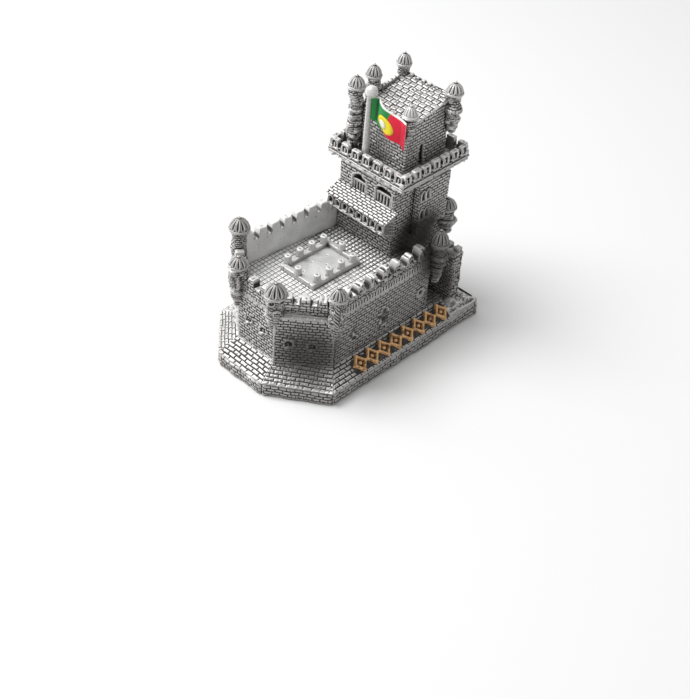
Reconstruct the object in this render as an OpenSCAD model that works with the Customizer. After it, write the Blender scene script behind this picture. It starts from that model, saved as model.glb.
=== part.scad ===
// Miniature river fortress: a low six-sided bastion with a square tower at its far end.
// X runs from the prow of the bastion (-X) to the gate end (+X), Z is up.
// The origin is the centre of the resting face.

/* [Base] */
// Length of the base from the prow to the gate end
base_l = 82; // [81:0.5:84]
// Width of the base
base_w = 53.5; // [53:0.5:56]
// Height of the upright skirt around the base
skirt_h = 5; // [4:0.5:6]
// Height of the bastion wall foot above the resting face
wall_foot_z = 9; // [8:0.5:10]

/* [Bastion] */
// Height of the terrace above the resting face
terrace_z = 27; // [26:0.5:28]
// Thickness of the terrace paving
paving_t = 0.8; // [0.6:0.1:1]
// Thickness of the parapet walls
parapet_t = 2.8; // [2.4:0.2:3]
// Height of the front parapet above the terrace, without its merlons
front_parapet_h = 4.6; // [4:0.2:5.4]
// Height of the right parapet above the terrace, without its merlons
right_parapet_h = 5.4; // [5:0.2:6.4]
// Height of the left parapet above the terrace, without its merlons
left_parapet_h = 9.5; // [8:0.5:10]
// Height of the bastion merlons
merlon_h = 2.4; // [1.6:0.2:3]

/* [Well] */
// Length of the well curb along the bastion
well_l = 20.8; // [19:0.1:21]
// Width of the well curb across the bastion
well_w = 14.6; // [14:0.1:16]
// Width of the curb stones
curb_t = 1.7; // [1.4:0.1:2]
// Height of the curb above the paving
curb_h = 1.8; // [1:0.2:2.4]

/* [Tower] */
// Length of the tower along X
tower_l = 26.2; // [26:0.1:27]
// Width of the tower across Y
tower_w = 23.6; // [23:0.2:24]
// Height of the tower wall above the resting face
tower_top_z = 53.5; // [52:0.5:55]
// Height of the gallery slab and its moulding
gallery_slab_h = 2; // [1.6:0.1:2.4]
// Height of the gallery parapet above the slab, without its merlons
gallery_parapet_h = 2; // [1.6:0.1:2.4]
// Thickness of the gallery parapet
gallery_parapet_t = 1.6; // [1.2:0.1:1.8]
// Height of the gallery merlons
gallery_merlon_h = 2.4; // [2:0.2:3]

/* [Keep] */
// Length of the keep along X
keep_l = 19.2; // [19:0.1:19.6]
// Width of the keep across Y
keep_w = 19.5; // [19:0.1:20]
// Height of the keep wall at its low front edge, above the resting face
keep_front_z = 71.4; // [70:0.2:72]
// Rise of the roof from the front edge to the back edge
roof_rise = 3.8; // [3:0.2:4.4]
// Thickness of the roof courses
roof_t = 0.8; // [0.6:0.1:1]

/* [Turrets] */
// Radius of the bastion turret drums
bastion_drum_r = 2.55; // [2.3:0.05:2.7]
// Radius of the keep turret drums
keep_drum_r = 2; // [1.8:0.05:2.1]
// How far a dome spreads beyond its drum
dome_over = 0.35; // [0.2:0.05:0.5]

/* [Flag] */
// Radius of the flagpole at its foot
pole_foot_r = 1.2; // [1:0.05:1.3]
// Radius of the flagpole under its ball
pole_top_r = 0.8; // [0.7:0.05:0.95]
// Diameter of the ball on the pole
pole_ball_d = 4; // [3.6:0.1:4.4]
// Height of the top of the ball above the resting face
pole_top_z = 81.6; // [80:0.2:82]
// Thickness of the flag
flag_t = 1.2; // [1:0.1:1.4]

/* [Hidden] */

$fn = 48;
dome_sides = 10;
stone = [0.78, 0.78, 0.77];
pale = [0.88, 0.88, 0.87];
shade = [0.52, 0.51, 0.50];

// Base: the chamfered prow and the straight sides
x_prow = -base_l / 2;
x_back = base_l / 2;
y_side = base_w / 2;
prow_right = -8.25;
prow_left = 11.75;
chamfer_l = 13;
back_corner_r = 2;
glacis_end = 28;
landing_h = 1.6;

// Bastion outline, counter-clockwise from the right end of the prow wall
inset = 7;
wall_x = x_prow + inset;
wall_right_y = -y_side + 6.5;
wall_end_x = 20.8;
outline = [[wall_x, -6.2], [-22, wall_right_y], [wall_end_x, wall_right_y], [wall_end_x, 15.4],
    [-27, 19.8], [wall_x, 9.8]];
paving_top = terrace_z + paving_t;

// Tower
tower_x = 11.6;
tower_cy = 1.55;
tower_end = tower_x + tower_l;
tower_right = tower_cy - tower_w / 2;
tower_left = tower_cy + tower_w / 2;
gallery_over = 1.1;
gallery_x = tower_x - gallery_over;
gallery_l = tower_l + 4.2;
gallery_right = tower_right - 3.7;
gallery_left = tower_left + 4.3;
gallery_floor = tower_top_z + gallery_slab_h;
gallery_merlons = 7;

// Keep
keep_x = 17;
keep_right = -8.25;
keep_end = keep_x + keep_l;
keep_left = keep_right + keep_w;
door_x = 23.4;
door_w = 2.4;
door_h = 8;
slope = atan2(roof_rise, keep_l);
roof_over = 0.4;

// Well
well_x = -18;
well_y = -6.05;

// Turrets: [x, y, foot, rim, height of the dome]
far_left = [-25.8, 18.5, 22, 41.4, 4.3];
prow_left_t = [-33.6, 10.2, 21, 36, 3.6];
prow_right_t = [-32.8, -5.4, 21, 33.6, 4.7];
near_right = [-21.8, -20.5, 20, 35.5, 4.1];
gate_t = [22.4, -21.2, 19.3, 34.5, 5.4];
rear_t = [38, -10.6, 26, 35.6, 3.9];
keep_a = [15.6, 12.2, gallery_floor, 77.7, 4];
keep_b = [23, 12.2, gallery_floor, 78.7, 4.1];
keep_c = [35.6, 11.3, 64, 78.8, 4.1];
keep_d = [36.2, -9.1, 63.8, 77.2, 4];
keep_e = [17.2, -8.4, 69, 76.2, 3.8];

// Flag
pole_x = 13.8;
pole_y = 5.1;
ball_shift = 0.35;
flag_top = 78.3;
flag_l = 13.8;
flag_h = 8.8;
flag_drop = 2.9;
flag_wave = 0.8;
flag_cols = 16;

// Ornament strip on the right slope of the foot
strip_x = -16.5;
strip_l = 43;
strip_w = 4.6;
strip_t = 0.5;
strip_motifs = 8;

// ---- helpers ----

function unit(v) = v / norm(v);
function left_normal(a, b) = let (u = unit(b - a)) [-u[1], u[0]];

// The corner b of a counter-clockwise outline, moved inwards by t along both of its edges
function inner_corner(a, b, c, t) =
    let (n1 = left_normal(a, b), n2 = left_normal(b, c)) b + t * (n1 + n2) / (1 + n1 * n2);

// Outline corner i moved inwards; the two wall ends at the tower are cut square
function inner(i, t) =
    i == 2 ? [wall_end_x, outline[2][1] + t] :
    i == 3 ? [wall_end_x, outline[3][1] - t / cos(atan2(outline[4][1] - outline[3][1],
        outline[3][0] - outline[4][0]))] :
    inner_corner(outline[(i + 5) % 6], outline[i], outline[(i + 1) % 6], t);

module prism(points, z0, z1) {
    translate([0, 0, z0]) linear_extrude(z1 - z0) polygon(points);
}

module block(x0, x1, y0, y1, z0, z1) {
    translate([x0, y0, z0]) cube([x1 - x0, y1 - y0, z1 - z0]);
}

// Profile in X and Z, extruded along Y
module side_prism(points, y0, y1) {
    translate([0, y1, 0]) rotate([90, 0, 0]) linear_extrude(y1 - y0) polygon(points);
}

// A square-shouldered merlon with a rounded head, or a plain one
module merlon_face(w, h, rounded) {
    if (rounded) {
        translate([-w / 2, 0]) square([w, h - w / 2]);
        translate([0, h - w / 2]) circle(w / 2);
    } else {
        translate([-w / 2, 0]) square([w, h]);
    }
}

// n merlons along the edge from a to b, standing on z, as thick as the wall and to its left
module merlon_row(a, b, z, n, w, h, t, rounded = false, lead = 0.5) {
    length = norm(b - a);
    pitch = length / (n - 1 + 2 * lead);
    turn = atan2(b[1] - a[1], b[0] - a[0]);
    translate([a[0], a[1], z]) rotate([0, 0, turn])
        for (k = [0 : n - 1])
            translate([(k + lead) * pitch, t, 0]) rotate([90, 0, 0])
                linear_extrude(t) merlon_face(w, h, rounded);
}

// One parapet wall between outline corners i and j, with its merlons
module parapet(i, j, h, n, rounded = false, lead = 0.5, w = 3) {
    difference() {
        union() {
            prism([outline[i], outline[j], inner(j, parapet_t), inner(i, parapet_t)],
                terrace_z, terrace_z + h);
            merlon_row(outline[i], outline[j], terrace_z + h, n, w, merlon_h, parapet_t,
                rounded, lead);
        }
        turret_clearance();
    }
}

// The space of the bastion turrets, taken out of the walls they stand against
module turret_clearance() {
    for (t = [far_left, prow_left_t, prow_right_t, near_right, gate_t])
        translate([t[0], t[1], t[2]]) cylinder(r = bastion_drum_r, h = t[3] + t[4] - t[2]);
}

// A bartizan: ring corbels growing upwards to a drum with a projecting rim.
// The widest ring stands proud of the drum by bulge.
module turret(t, r, rings, corbel_part = 0.5, foot_r = 0.7, bulge = -0.1) {
    corbel_h = (t[3] - t[2]) * corbel_part;
    ring_h = corbel_h / rings;
    rim_h = 0.8;
    rim_out = 0.35;
    groove = 0.22;
    corbel = [for (k = [0 : rings - 1])
        let (grow = foot_r + (r + bulge - foot_r) * (k + 1) / rings, z = t[2] + k * ring_h)
        each [[grow - groove, z], [grow, z + ring_h * 0.3], [grow, z + ring_h * 0.75],
            [grow - groove, z + ring_h * 0.98]]];
    translate([t[0], t[1], 0]) rotate_extrude()
        polygon(concat([[0, t[2]]], corbel, [[r, t[2] + corbel_h], [r, t[3] - rim_h],
            [r + rim_out, t[3] - rim_h * 0.6], [r + rim_out, t[3]], [0, t[3]]]));
}

// Radius of a dome at height fraction f, as a part of its base radius
function onion(f) = (1 + 0.1 * sin(180 * min(1, f * 1.8))) * sqrt(max(0, 1 - pow(f, 1.7)));

// A gored onion dome with a small tip
module dome(t, r) {
    h = t[4];
    steps = 7;
    body = 0.84;
    outline_points = concat([[0, 0]],
        [for (k = [0 : steps]) [max(0.3, r * onion(k / steps)), h * body * k / steps]],
        [[0.45, h * (body + 0.05)], [0, h]]);
    translate([t[0], t[1], t[3]]) rotate([0, 0, 180 / dome_sides])
        rotate_extrude($fn = dome_sides) polygon(outline_points);
}

module bastion_turret(t, rings, corbel_part = 0.5, foot_r = 0.7) {
    color(stone) difference() {
        turret(t, bastion_drum_r, rings, corbel_part, foot_r);
        prism(outline, wall_foot_z, terrace_z);
    }
}

module keep_turret(t, rings, corbel_part, bulge = -0.1) {
    color(stone) difference() {
        turret(t, keep_drum_r, rings, corbel_part, 0.9, bulge);
        keep_solid();
    }
}

// ---- base ----

module base_outline() {
    difference() {
        polygon([[x_prow, prow_right], [x_prow + chamfer_l, -y_side], [x_back, -y_side],
            [x_back, y_side], [x_prow + chamfer_l + 1, y_side], [x_prow, prow_left]]);
        for (side = [-1, 1])
            translate([x_back, side * y_side]) rotate([0, 0, side > 0 ? 180 : 90])
                difference() {
                    square(back_corner_r);
                    translate([back_corner_r, back_corner_r]) circle(back_corner_r);
                }
    }
}

module base_plinth() {
    color(shade) linear_extrude(skirt_h) base_outline();
}

// Sloping foot between the skirt and the bastion walls
module glacis() {
    sliver = 0.02;
    foot_top = [outline[0], outline[1], [glacis_end, wall_right_y], [glacis_end, 19.8],
        outline[4], outline[5]];
    color(stone) hull() {
        translate([0, 0, skirt_h]) linear_extrude(sliver) intersection() {
            base_outline();
            translate([x_prow, -y_side]) square([glacis_end - x_prow, base_w]);
        }
        prism(foot_top, wall_foot_z - sliver, wall_foot_z);
    }
}

// Low ground behind the tower and the gate
module rear_landing() {
    margin = 0.8;
    color(stone) translate([0, 0, skirt_h]) linear_extrude(landing_h) intersection() {
        offset(delta = -margin) base_outline();
        translate([glacis_end, -y_side]) square([x_back - glacis_end, base_w]);
    }
}

// Rough lump at the end of the ornament strip
module landing_rock() {
    color(stone) translate([30.4, wall_right_y - 1.7, skirt_h + landing_h])
        difference() {
            scale([1.1, 1, 1]) sphere(2.2, $fn = 24);
            translate([-4, -4, -5]) cube([8, 8, 5]);
        }
}

// ---- bastion ----

module tower_space(z0, z1) {
    block(tower_x, tower_end + 1, tower_right, tower_left, z0, z1);
}

module bastion_body() {
    color(stone) difference() {
        prism(outline, wall_foot_z, terrace_z);
        tower_space(wall_foot_z - 1, terrace_z + 1);
    }
}

module terrace_paving() {
    t = parapet_t;
    color(pale) difference() {
        prism([inner(0, t), inner(1, t), inner(2, t), inner(3, t), inner(4, t), inner(5, t)],
            terrace_z, paving_top);
        tower_space(terrace_z - 1, terrace_z + 2);
        turret_clearance();
    }
}

module parapet_front() {
    color(stone) parapet(5, 0, front_parapet_h, 2, false, 1, 2.4);
}

module parapet_front_right() {
    color(stone) parapet(0, 1, front_parapet_h, 3, false, 0.75, 2.2);
}

module parapet_right() {
    color(stone) parapet(1, 2, right_parapet_h, 7, true, 0.8, 3);
}

module parapet_left() {
    color(stone) parapet(3, 4, left_parapet_h, 9, false, 1.1, 2.4);
}

module parapet_front_left() {
    color(stone) parapet(4, 5, front_parapet_h + 1.6, 2, false, 1.05, 1.8);
}

// ---- well ----

module well_floor() {
    color(pale) block(well_x + curb_t, well_x + well_l - curb_t, well_y + curb_t,
        well_y + well_w - curb_t, paving_top, paving_top + 0.4);
}

// A curb stone along X with n round-topped posts
module curb(x0, x1, y0, y1, n, along_y = false) {
    post_r = curb_t / 2;
    post_h = 1.6;
    top = paving_top + curb_h;
    color(pale) union() {
        block(x0, x1, y0, y1, paving_top, top);
        for (k = [0 : n - 1]) {
            f = (k + 0.5) / n;
            translate([along_y ? (x0 + x1) / 2 : x0 + f * (x1 - x0),
                along_y ? y0 + f * (y1 - y0) : (y0 + y1) / 2, top])
                cylinder(r = post_r, h = post_h);
        }
    }
}

module well_curb_front() {
    curb(well_x, well_x + curb_t, well_y + curb_t, well_y + well_w - curb_t, 1, true);
}

module well_curb_back() {
    curb(well_x + well_l - curb_t, well_x + well_l, well_y + curb_t, well_y + well_w - curb_t,
        1, true);
}

module well_curb_right() {
    curb(well_x, well_x + well_l, well_y, well_y + curb_t, 4);
}

module well_curb_left() {
    curb(well_x, well_x + well_l, well_y + well_w - curb_t, well_y + well_w, 4);
}

// ---- tower ----

// Window pockets of the front face: [right edge, width, sill, height]
front_windows = [[1.9, 5.8, 45.2, 6.2], [-8.85, 6.6, 45.6, 6.4]];
pocket_depth = 1.4;

// The front of the tower stands on the sloping foot, its back on the low ground behind
module tower_body() {
    color(stone) difference() {
        union() {
            block(tower_x, tower_end, tower_right, tower_left, wall_foot_z, tower_top_z);
            block(glacis_end, tower_end, tower_right, tower_left, skirt_h + landing_h,
                wall_foot_z + 1);
        }
        for (w = front_windows)
            block(tower_x - 1, tower_x + pocket_depth, w[0], w[0] + w[1], w[2], w[2] + w[3]);
        translate([rear_t[0], rear_t[1], rear_t[2]])
            cylinder(r = bastion_drum_r, h = rear_t[3] + rear_t[4] - rear_t[2]);
    }
}

module window_grilles() {
    bars = 5;
    bar_w = 0.55;
    bar_t = 0.5;
    lintel_h = 0.6;
    color(stone) for (w = front_windows) {
        bar_h = w[3] * 0.54;
        for (k = [0 : bars - 1]) {
            y = w[0] + w[1] * (k + 0.5) / bars;
            block(tower_x + 0.4, tower_x + 0.4 + bar_t, y - bar_w / 2, y + bar_w / 2, w[2],
                w[2] + bar_h);
        }
        block(tower_x + 0.3, tower_x + pocket_depth, w[0], w[0] + w[1], w[2] + bar_h,
            w[2] + bar_h + lintel_h);
    }
}

loggia_x = 6.4;
loggia_right = -11.25;
loggia_left = 13.05;
loggia_eave_z = 43.3;
loggia_arches = 8;

module loggia_box() {
    arch_w = 1.5;
    arch_h = 2.4;
    arch_z = loggia_eave_z - 3.1;
    pitch = (loggia_left - loggia_right) / loggia_arches;
    color(stone) difference() {
        side_prism([[tower_x, 36.8], [loggia_x, 39.4], [loggia_x, loggia_eave_z],
            [tower_x, loggia_eave_z]], loggia_right, loggia_left);
        for (k = [0 : loggia_arches - 1])
            translate([loggia_x - 1, loggia_right + (k + 0.5) * pitch, arch_z]) {
                translate([0, -arch_w / 2, 0]) cube([2.6, arch_w, arch_h - arch_w / 2]);
                translate([0, 0, arch_h - arch_w / 2]) rotate([0, 90, 0])
                    cylinder(r = arch_w / 2, h = 2.6);
            }
    }
}

module loggia_roof() {
    eave = 0.5;
    color(pale) side_prism([[tower_x, loggia_eave_z], [loggia_x - eave, loggia_eave_z],
        [loggia_x - eave, loggia_eave_z + 0.5], [tower_x, loggia_eave_z + 2.5]],
        loggia_right - eave, loggia_left + eave);
}

bay_x = 20.5;
bay_l = 14.3;
bay_out = 2.5;
bay_foot = 35.5;

bay_top = 52;
bay_window_r = 0.45;
bay_window_h = 2.4;

module side_bay() {
    face = tower_right - bay_out;
    pane = 2 * bay_window_r;
    color(stone) difference() {
        block(bay_x, bay_x + bay_l, face, tower_right, bay_foot, bay_top);
        for (z = [39.3, 46]) for (k = [0, 1])
            translate([bay_x + 1.2 + 1.5 * k, face - 1, z]) {
                cube([pane, 2, bay_window_h]);
                translate([bay_window_r, 0, bay_window_h]) rotate([-90, 0, 0])
                    cylinder(r = bay_window_r, h = 2);
            }
    }
}

// Rounded underside of the bay
module bay_corbel() {
    color(stone) intersection() {
        translate([0, tower_right, bay_foot]) rotate([0, 90, 0])
            translate([0, 0, bay_x]) cylinder(r = bay_out, h = bay_l);
        block(bay_x, bay_x + bay_l, tower_right - bay_out, tower_right, bay_foot - bay_out,
            bay_foot);
    }
}

// ---- gallery ----

module gallery_slab() {
    moulding = 1.2;
    color(pale) {
        block(gallery_x + moulding * 0.5, gallery_x + gallery_l - moulding * 0.5,
            gallery_right + moulding, gallery_left - moulding, tower_top_z, tower_top_z + 0.8);
        block(gallery_x, gallery_x + gallery_l, gallery_right, gallery_left, tower_top_z + 0.8,
            gallery_floor);
    }
}

// A gallery parapet from a to b; the gallery lies to its left
module gallery_wall(a, b, n) {
    turn = atan2(b[1] - a[1], b[0] - a[0]);
    color(stone) union() {
        translate([a[0], a[1], gallery_floor]) rotate([0, 0, turn])
            cube([norm(b - a), gallery_parapet_t, gallery_parapet_h]);
        merlon_row(a, b, gallery_floor + gallery_parapet_h, n, 2, gallery_merlon_h,
            gallery_parapet_t);
    }
}

gx0 = gallery_x;
gx1 = gallery_x + gallery_l;
gt = gallery_parapet_t;

module gallery_parapet_front() {
    gallery_wall([gx0, gallery_left], [gx0, gallery_right], gallery_merlons);
}

module gallery_parapet_back() {
    gallery_wall([gx1, gallery_right], [gx1, gallery_left], gallery_merlons);
}

module gallery_parapet_right() {
    gallery_wall([gx0 + gt, gallery_right], [gx1 - gt, gallery_right], gallery_merlons);
}

module gallery_parapet_left() {
    gallery_wall([gx1 - gt, gallery_left], [gx0 + gt, gallery_left], gallery_merlons);
}

// ---- keep ----

// The keep and its roof as one plain solid, up to well above the roof line
module keep_solid() {
    side_prism([[keep_x, gallery_floor], [keep_end, gallery_floor],
        [keep_end, keep_front_z + roof_rise], [keep_x, keep_front_z]], keep_right, keep_left);
}

module keep_turret_clearance() {
    for (t = [keep_a, keep_b, keep_c, keep_d, keep_e])
        translate([t[0], t[1], t[2]]) cylinder(r = keep_drum_r + 0.35, h = t[3] + t[4] - t[2]);
}

module keep_body() {
    color(stone) difference() {
        keep_solid();
        block(door_x, door_x + door_w, keep_right - 1, keep_right + 0.8, gallery_floor - 1,
            gallery_floor + door_h);
    }
}

module keep_roof() {
    x0 = keep_x - roof_over;
    x1 = keep_end + roof_over;
    z0 = keep_front_z - roof_over * tan(slope);
    z1 = keep_front_z + roof_rise + roof_over * tan(slope);
    color(pale) difference() {
        side_prism([[x0, z0], [x1, z1], [x1, z1 + roof_t], [x0, z0 + roof_t]],
            keep_right - roof_over, keep_left + roof_over);
        keep_turret_clearance();
    }
}

row_t = 1.2;
row_bump_h = 0.7;

// A low merlon row that stands on the sloping roof
module roof_parapet_left() {
    bumps = 5;
    row_h = 0.8;
    x0 = keep_b[0] + 2.6;
    length = keep_c[0] - 2.4 - x0;
    color(stone) difference() {
        translate([keep_x, keep_left - row_t, keep_front_z]) rotate([0, -slope, 0])
            translate([x0 - keep_x, 0, roof_t * cos(slope)]) {
                cube([length, row_t, row_h]);
                for (k = [0 : bumps - 1])
                    translate([length * (k + 0.2) / bumps, 0, row_h])
                        cube([length * 0.6 / bumps, row_t, row_bump_h]);
            }
        keep_turret_clearance();
    }
}

module roof_parapet_back() {
    bumps = 4;
    y0 = keep_d[1] + 8;
    length = keep_c[1] - 2.4 - y0;
    z0 = keep_front_z + roof_rise + roof_t - row_t * tan(slope);
    z1 = keep_front_z + roof_rise + roof_t + 0.2;
    color(stone) difference() {
        union() {
            side_prism([[keep_end - row_t, z0], [keep_end, z0 + row_t * tan(slope)],
                [keep_end, z1], [keep_end - row_t, z1]], y0, y0 + length);
            for (k = [0 : bumps - 1])
                block(keep_end - row_t, keep_end, y0 + length * (k + 0.2) / bumps,
                    y0 + length * (k + 0.8) / bumps, z1, z1 + row_bump_h);
        }
        keep_turret_clearance();
    }
}

// ---- turrets ----

module turret_far_left() { bastion_turret(far_left, 4, 0.42); }
module turret_prow_left() { bastion_turret(prow_left_t, 4, 0.5); }
module turret_prow_right() { bastion_turret(prow_right_t, 3, 0.45, 1.3); }
module turret_near_right() { bastion_turret(near_right, 3, 0.45); }
module turret_gate() { bastion_turret(gate_t, 4, 0.62); }
module turret_rear() { color(stone) turret(rear_t, bastion_drum_r, 3, 0.62, 1.2, 0.15); }

bastion_dome_r = bastion_drum_r + dome_over;
keep_dome_r = keep_drum_r + dome_over;

module dome_far_left() { color(stone) dome(far_left, bastion_dome_r); }
module dome_prow_left() { color(stone) dome(prow_left_t, bastion_dome_r); }
module dome_prow_right() { color(stone) dome(prow_right_t, bastion_dome_r); }
module dome_near_right() { color(stone) dome(near_right, bastion_dome_r); }
module dome_gate() { color(stone) dome(gate_t, bastion_dome_r); }
module dome_rear() { color(stone) dome(rear_t, bastion_dome_r); }

module keep_turret_a() { keep_turret(keep_a, 6, 0.75); }
module keep_turret_b() { keep_turret(keep_b, 6, 0.75); }
module keep_turret_c() { keep_turret(keep_c, 3, 0.75); }
module keep_turret_d() { keep_turret(keep_d, 3, 0.75, 0.5); }
module keep_turret_e() { keep_turret(keep_e, 3, 0.6); }

module keep_dome_a() { color(stone) dome(keep_a, keep_dome_r); }
module keep_dome_b() { color(stone) dome(keep_b, keep_dome_r); }
module keep_dome_c() { color(stone) dome(keep_c, keep_dome_r); }
module keep_dome_d() { color(stone) dome(keep_d, keep_dome_r); }
module keep_dome_e() { color(stone) dome(keep_e, keep_dome_r * 0.95); }

// ---- flag ----

ball_z = pole_top_z - pole_ball_d / 2;
pole_end = ball_z - sqrt(pow(pole_ball_d / 2, 2) - pow(pole_top_r, 2));

module flagpole() {
    color(pale) translate([pole_x, pole_y, gallery_floor])
        cylinder(r1 = pole_foot_r, r2 = pole_top_r, h = pole_end - gallery_floor);
}

module pole_ball() {
    color(pale) difference() {
        translate([pole_x + ball_shift, pole_y - ball_shift, ball_z]) sphere(pole_ball_d / 2);
        block(pole_x - 3, pole_x + 3, pole_y - 3, pole_y + 3, pole_end - 3, pole_end);
    }
}

// The drooping, waving flag: columns of points from the hoist to the fly
function flag_mid(f, v) = [
    pole_x + 0.2 + flag_wave * sin(560 * f) * (0.3 + 0.7 * f),
    pole_y - pole_foot_r - flag_l * f,
    flag_top - flag_drop * (1 - cos(180 * f)) / 2 - flag_h * v];

module flag() {
    rows = 4;
    across = [flag_t / 2, 0, 0];
    points = [for (side = [-1, 1]) for (c = [0 : flag_cols]) for (r = [0 : rows])
        flag_mid(c / flag_cols, r / rows) + side * across];
    per_side = (flag_cols + 1) * (rows + 1);
    function id(s, c, r) = s * per_side + c * (rows + 1) + r;
    sheet = [for (c = [0 : flag_cols - 1]) for (r = [0 : rows - 1]) each [
        [id(0, c, r), id(0, c + 1, r), id(0, c + 1, r + 1), id(0, c, r + 1)],
        [id(1, c, r + 1), id(1, c + 1, r + 1), id(1, c + 1, r), id(1, c, r)]]];
    long_edges = [for (c = [0 : flag_cols - 1]) each [
        [id(0, c, 0), id(1, c, 0), id(1, c + 1, 0), id(0, c + 1, 0)],
        [id(0, c + 1, rows), id(1, c + 1, rows), id(1, c, rows), id(0, c, rows)]]];
    short_edges = [for (r = [0 : rows - 1]) each [
        [id(0, 0, r + 1), id(1, 0, r + 1), id(1, 0, r), id(0, 0, r)],
        [id(0, flag_cols, r), id(1, flag_cols, r), id(1, flag_cols, r + 1),
            id(0, flag_cols, r + 1)]]];
    color("green") polyhedron(points, concat(sheet, long_edges, short_edges), convexity = 6);
}

// ---- gate ----

gate_x = 31.3;
gate_l = 4.8;
gate_front = -21;
gate_top = 24.6;

module gate_wall() {
    color(stone) union() {
        block(gate_x, gate_x + gate_l, gate_front, tower_right, skirt_h + landing_h, gate_top);
        merlon_row([gate_x + gate_l, gate_front], [gate_x + gate_l, tower_right], gate_top, 3,
            2, 0.9, 1.6);
    }
}

// ---- ornament ----

module on_slope() {
    rise = wall_foot_z - skirt_h;
    run = wall_right_y + y_side;
    translate([strip_x, -y_side, skirt_h]) rotate([atan2(rise, run), 0, 0])
        translate([0, (norm([rise, run]) - strip_w) / 2, 0]) children();
}

module ornament_ground() {
    color([0.1, 0.1, 0.09]) on_slope() cube([strip_l, strip_w, strip_t]);
}

// A plain lozenge frame with a stud in its middle
module lozenge() {
    w = strip_l / strip_motifs * 0.42;
    h = strip_w * 0.42;
    difference() {
        polygon([[-w, 0], [0, -h], [w, 0], [0, h]]);
        polygon([[-w * 0.62, 0], [0, -h * 0.62], [w * 0.62, 0], [0, h * 0.62]]);
    }
    circle(0.45, $fn = 24);
}

module ornament_relief() {
    pitch = strip_l / strip_motifs;
    color([0.72, 0.5, 0.25]) on_slope() translate([0, strip_w / 2, strip_t])
        linear_extrude(0.5) for (k = [0 : strip_motifs - 1])
            translate([(k + 0.5) * pitch, 0]) lozenge();
}

// ---- nodes ----

base_plinth();
glacis();
rear_landing();
landing_rock();
bastion_body();
terrace_paving();
parapet_front();
parapet_front_right();
parapet_right();
parapet_left();
parapet_front_left();
well_floor();
well_curb_front();
well_curb_back();
well_curb_right();
well_curb_left();
turret_far_left();
turret_prow_left();
turret_prow_right();
turret_near_right();
turret_gate();
turret_rear();
dome_far_left();
dome_prow_left();
dome_prow_right();
dome_near_right();
dome_gate();
dome_rear();
tower_body();
loggia_box();
loggia_roof();
window_grilles();
side_bay();
bay_corbel();
gallery_slab();
gallery_parapet_front();
gallery_parapet_back();
gallery_parapet_right();
gallery_parapet_left();
keep_body();
keep_roof();
roof_parapet_left();
roof_parapet_back();
keep_turret_a();
keep_turret_b();
keep_turret_c();
keep_turret_d();
keep_turret_e();
keep_dome_a();
keep_dome_b();
keep_dome_c();
keep_dome_d();
keep_dome_e();
flagpole();
pole_ball();
flag();
gate_wall();
ornament_ground();
ornament_relief();
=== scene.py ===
"""Looks of a miniature river fortress, cast and painted silver with a dark wash in its joints.

Lengths are in millimetres in the row's frame until a mesh is made. Every visible stone course is
real relief: each piece is a stack of closed loops of points, pushed in and out by a relief.
"""

import math

import bpy
import numpy as np
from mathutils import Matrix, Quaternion, Vector


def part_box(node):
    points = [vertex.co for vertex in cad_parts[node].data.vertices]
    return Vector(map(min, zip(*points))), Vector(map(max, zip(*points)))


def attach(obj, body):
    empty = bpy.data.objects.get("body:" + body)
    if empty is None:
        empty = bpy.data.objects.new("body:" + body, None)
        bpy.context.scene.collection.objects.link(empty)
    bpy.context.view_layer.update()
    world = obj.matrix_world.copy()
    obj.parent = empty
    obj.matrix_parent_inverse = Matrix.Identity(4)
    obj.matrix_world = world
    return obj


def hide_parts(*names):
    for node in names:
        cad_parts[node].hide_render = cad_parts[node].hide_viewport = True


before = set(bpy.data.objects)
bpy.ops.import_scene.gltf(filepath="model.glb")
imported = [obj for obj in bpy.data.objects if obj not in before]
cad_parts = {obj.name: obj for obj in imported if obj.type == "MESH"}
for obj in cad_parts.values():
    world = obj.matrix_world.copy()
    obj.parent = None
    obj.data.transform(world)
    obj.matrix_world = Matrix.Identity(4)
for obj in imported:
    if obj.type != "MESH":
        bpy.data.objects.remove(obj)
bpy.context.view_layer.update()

MM = 0.001
STEP = 0.16
TAU = 2 * math.pi


# ---- numbers from the frame ----


def box(node):
    """Lowest and highest corner of a CAD node, in millimetres."""
    low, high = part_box(node)
    return np.array(low) / MM, np.array(high) / MM


def cad_points(node):
    """All the points of a CAD node, in millimetres."""
    return np.array([v.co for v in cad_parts[node].data.vertices]) / MM


def corners(node, z):
    """The corners of a node's outline at height z, counter-clockwise."""
    points = cad_points(node)
    points = points[np.abs(points[:, 2] - z) < 0.01]
    points = np.unique(points[:, :2].round(3), axis=0)
    middle = points.mean(0)
    turn = np.arctan2(points[:, 1] - middle[1], points[:, 0] - middle[0])
    return points[np.argsort(turn)]


def ring_of(low, high):
    """The four corners of a box seen from above, counter-clockwise."""
    return [(low[0], low[1]), (high[0], low[1]), (high[0], high[1]), (low[0], high[1])]


def ring3(flat, z):
    """A ring of corners at height z."""
    return [(x, y, z) for x, y in flat]


# ---- noise and patterns ----


def smooth(x):
    """0 below 0, 1 above 1, and a soft step between."""
    x = np.clip(x, 0, 1)
    return x * x * (3 - 2 * x)


def hash01(*keys):
    """A repeatable random number from 0 to 1 for each set of whole numbers."""
    mix = np.uint64(0x9E3779B97F4A7C15)
    for key in keys:
        mix = (mix ^ np.asarray(key).astype(np.int64).astype(np.uint64)) * np.uint64(0xBF58476D1CE4E5B9)
        mix = mix ^ (mix >> np.uint64(29))
    mix = mix * np.uint64(0x94D049BB133111EB)
    mix = mix ^ (mix >> np.uint64(32))
    return (mix & np.uint64(0xFFFFFF)).astype(float) / 0xFFFFFF


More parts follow.
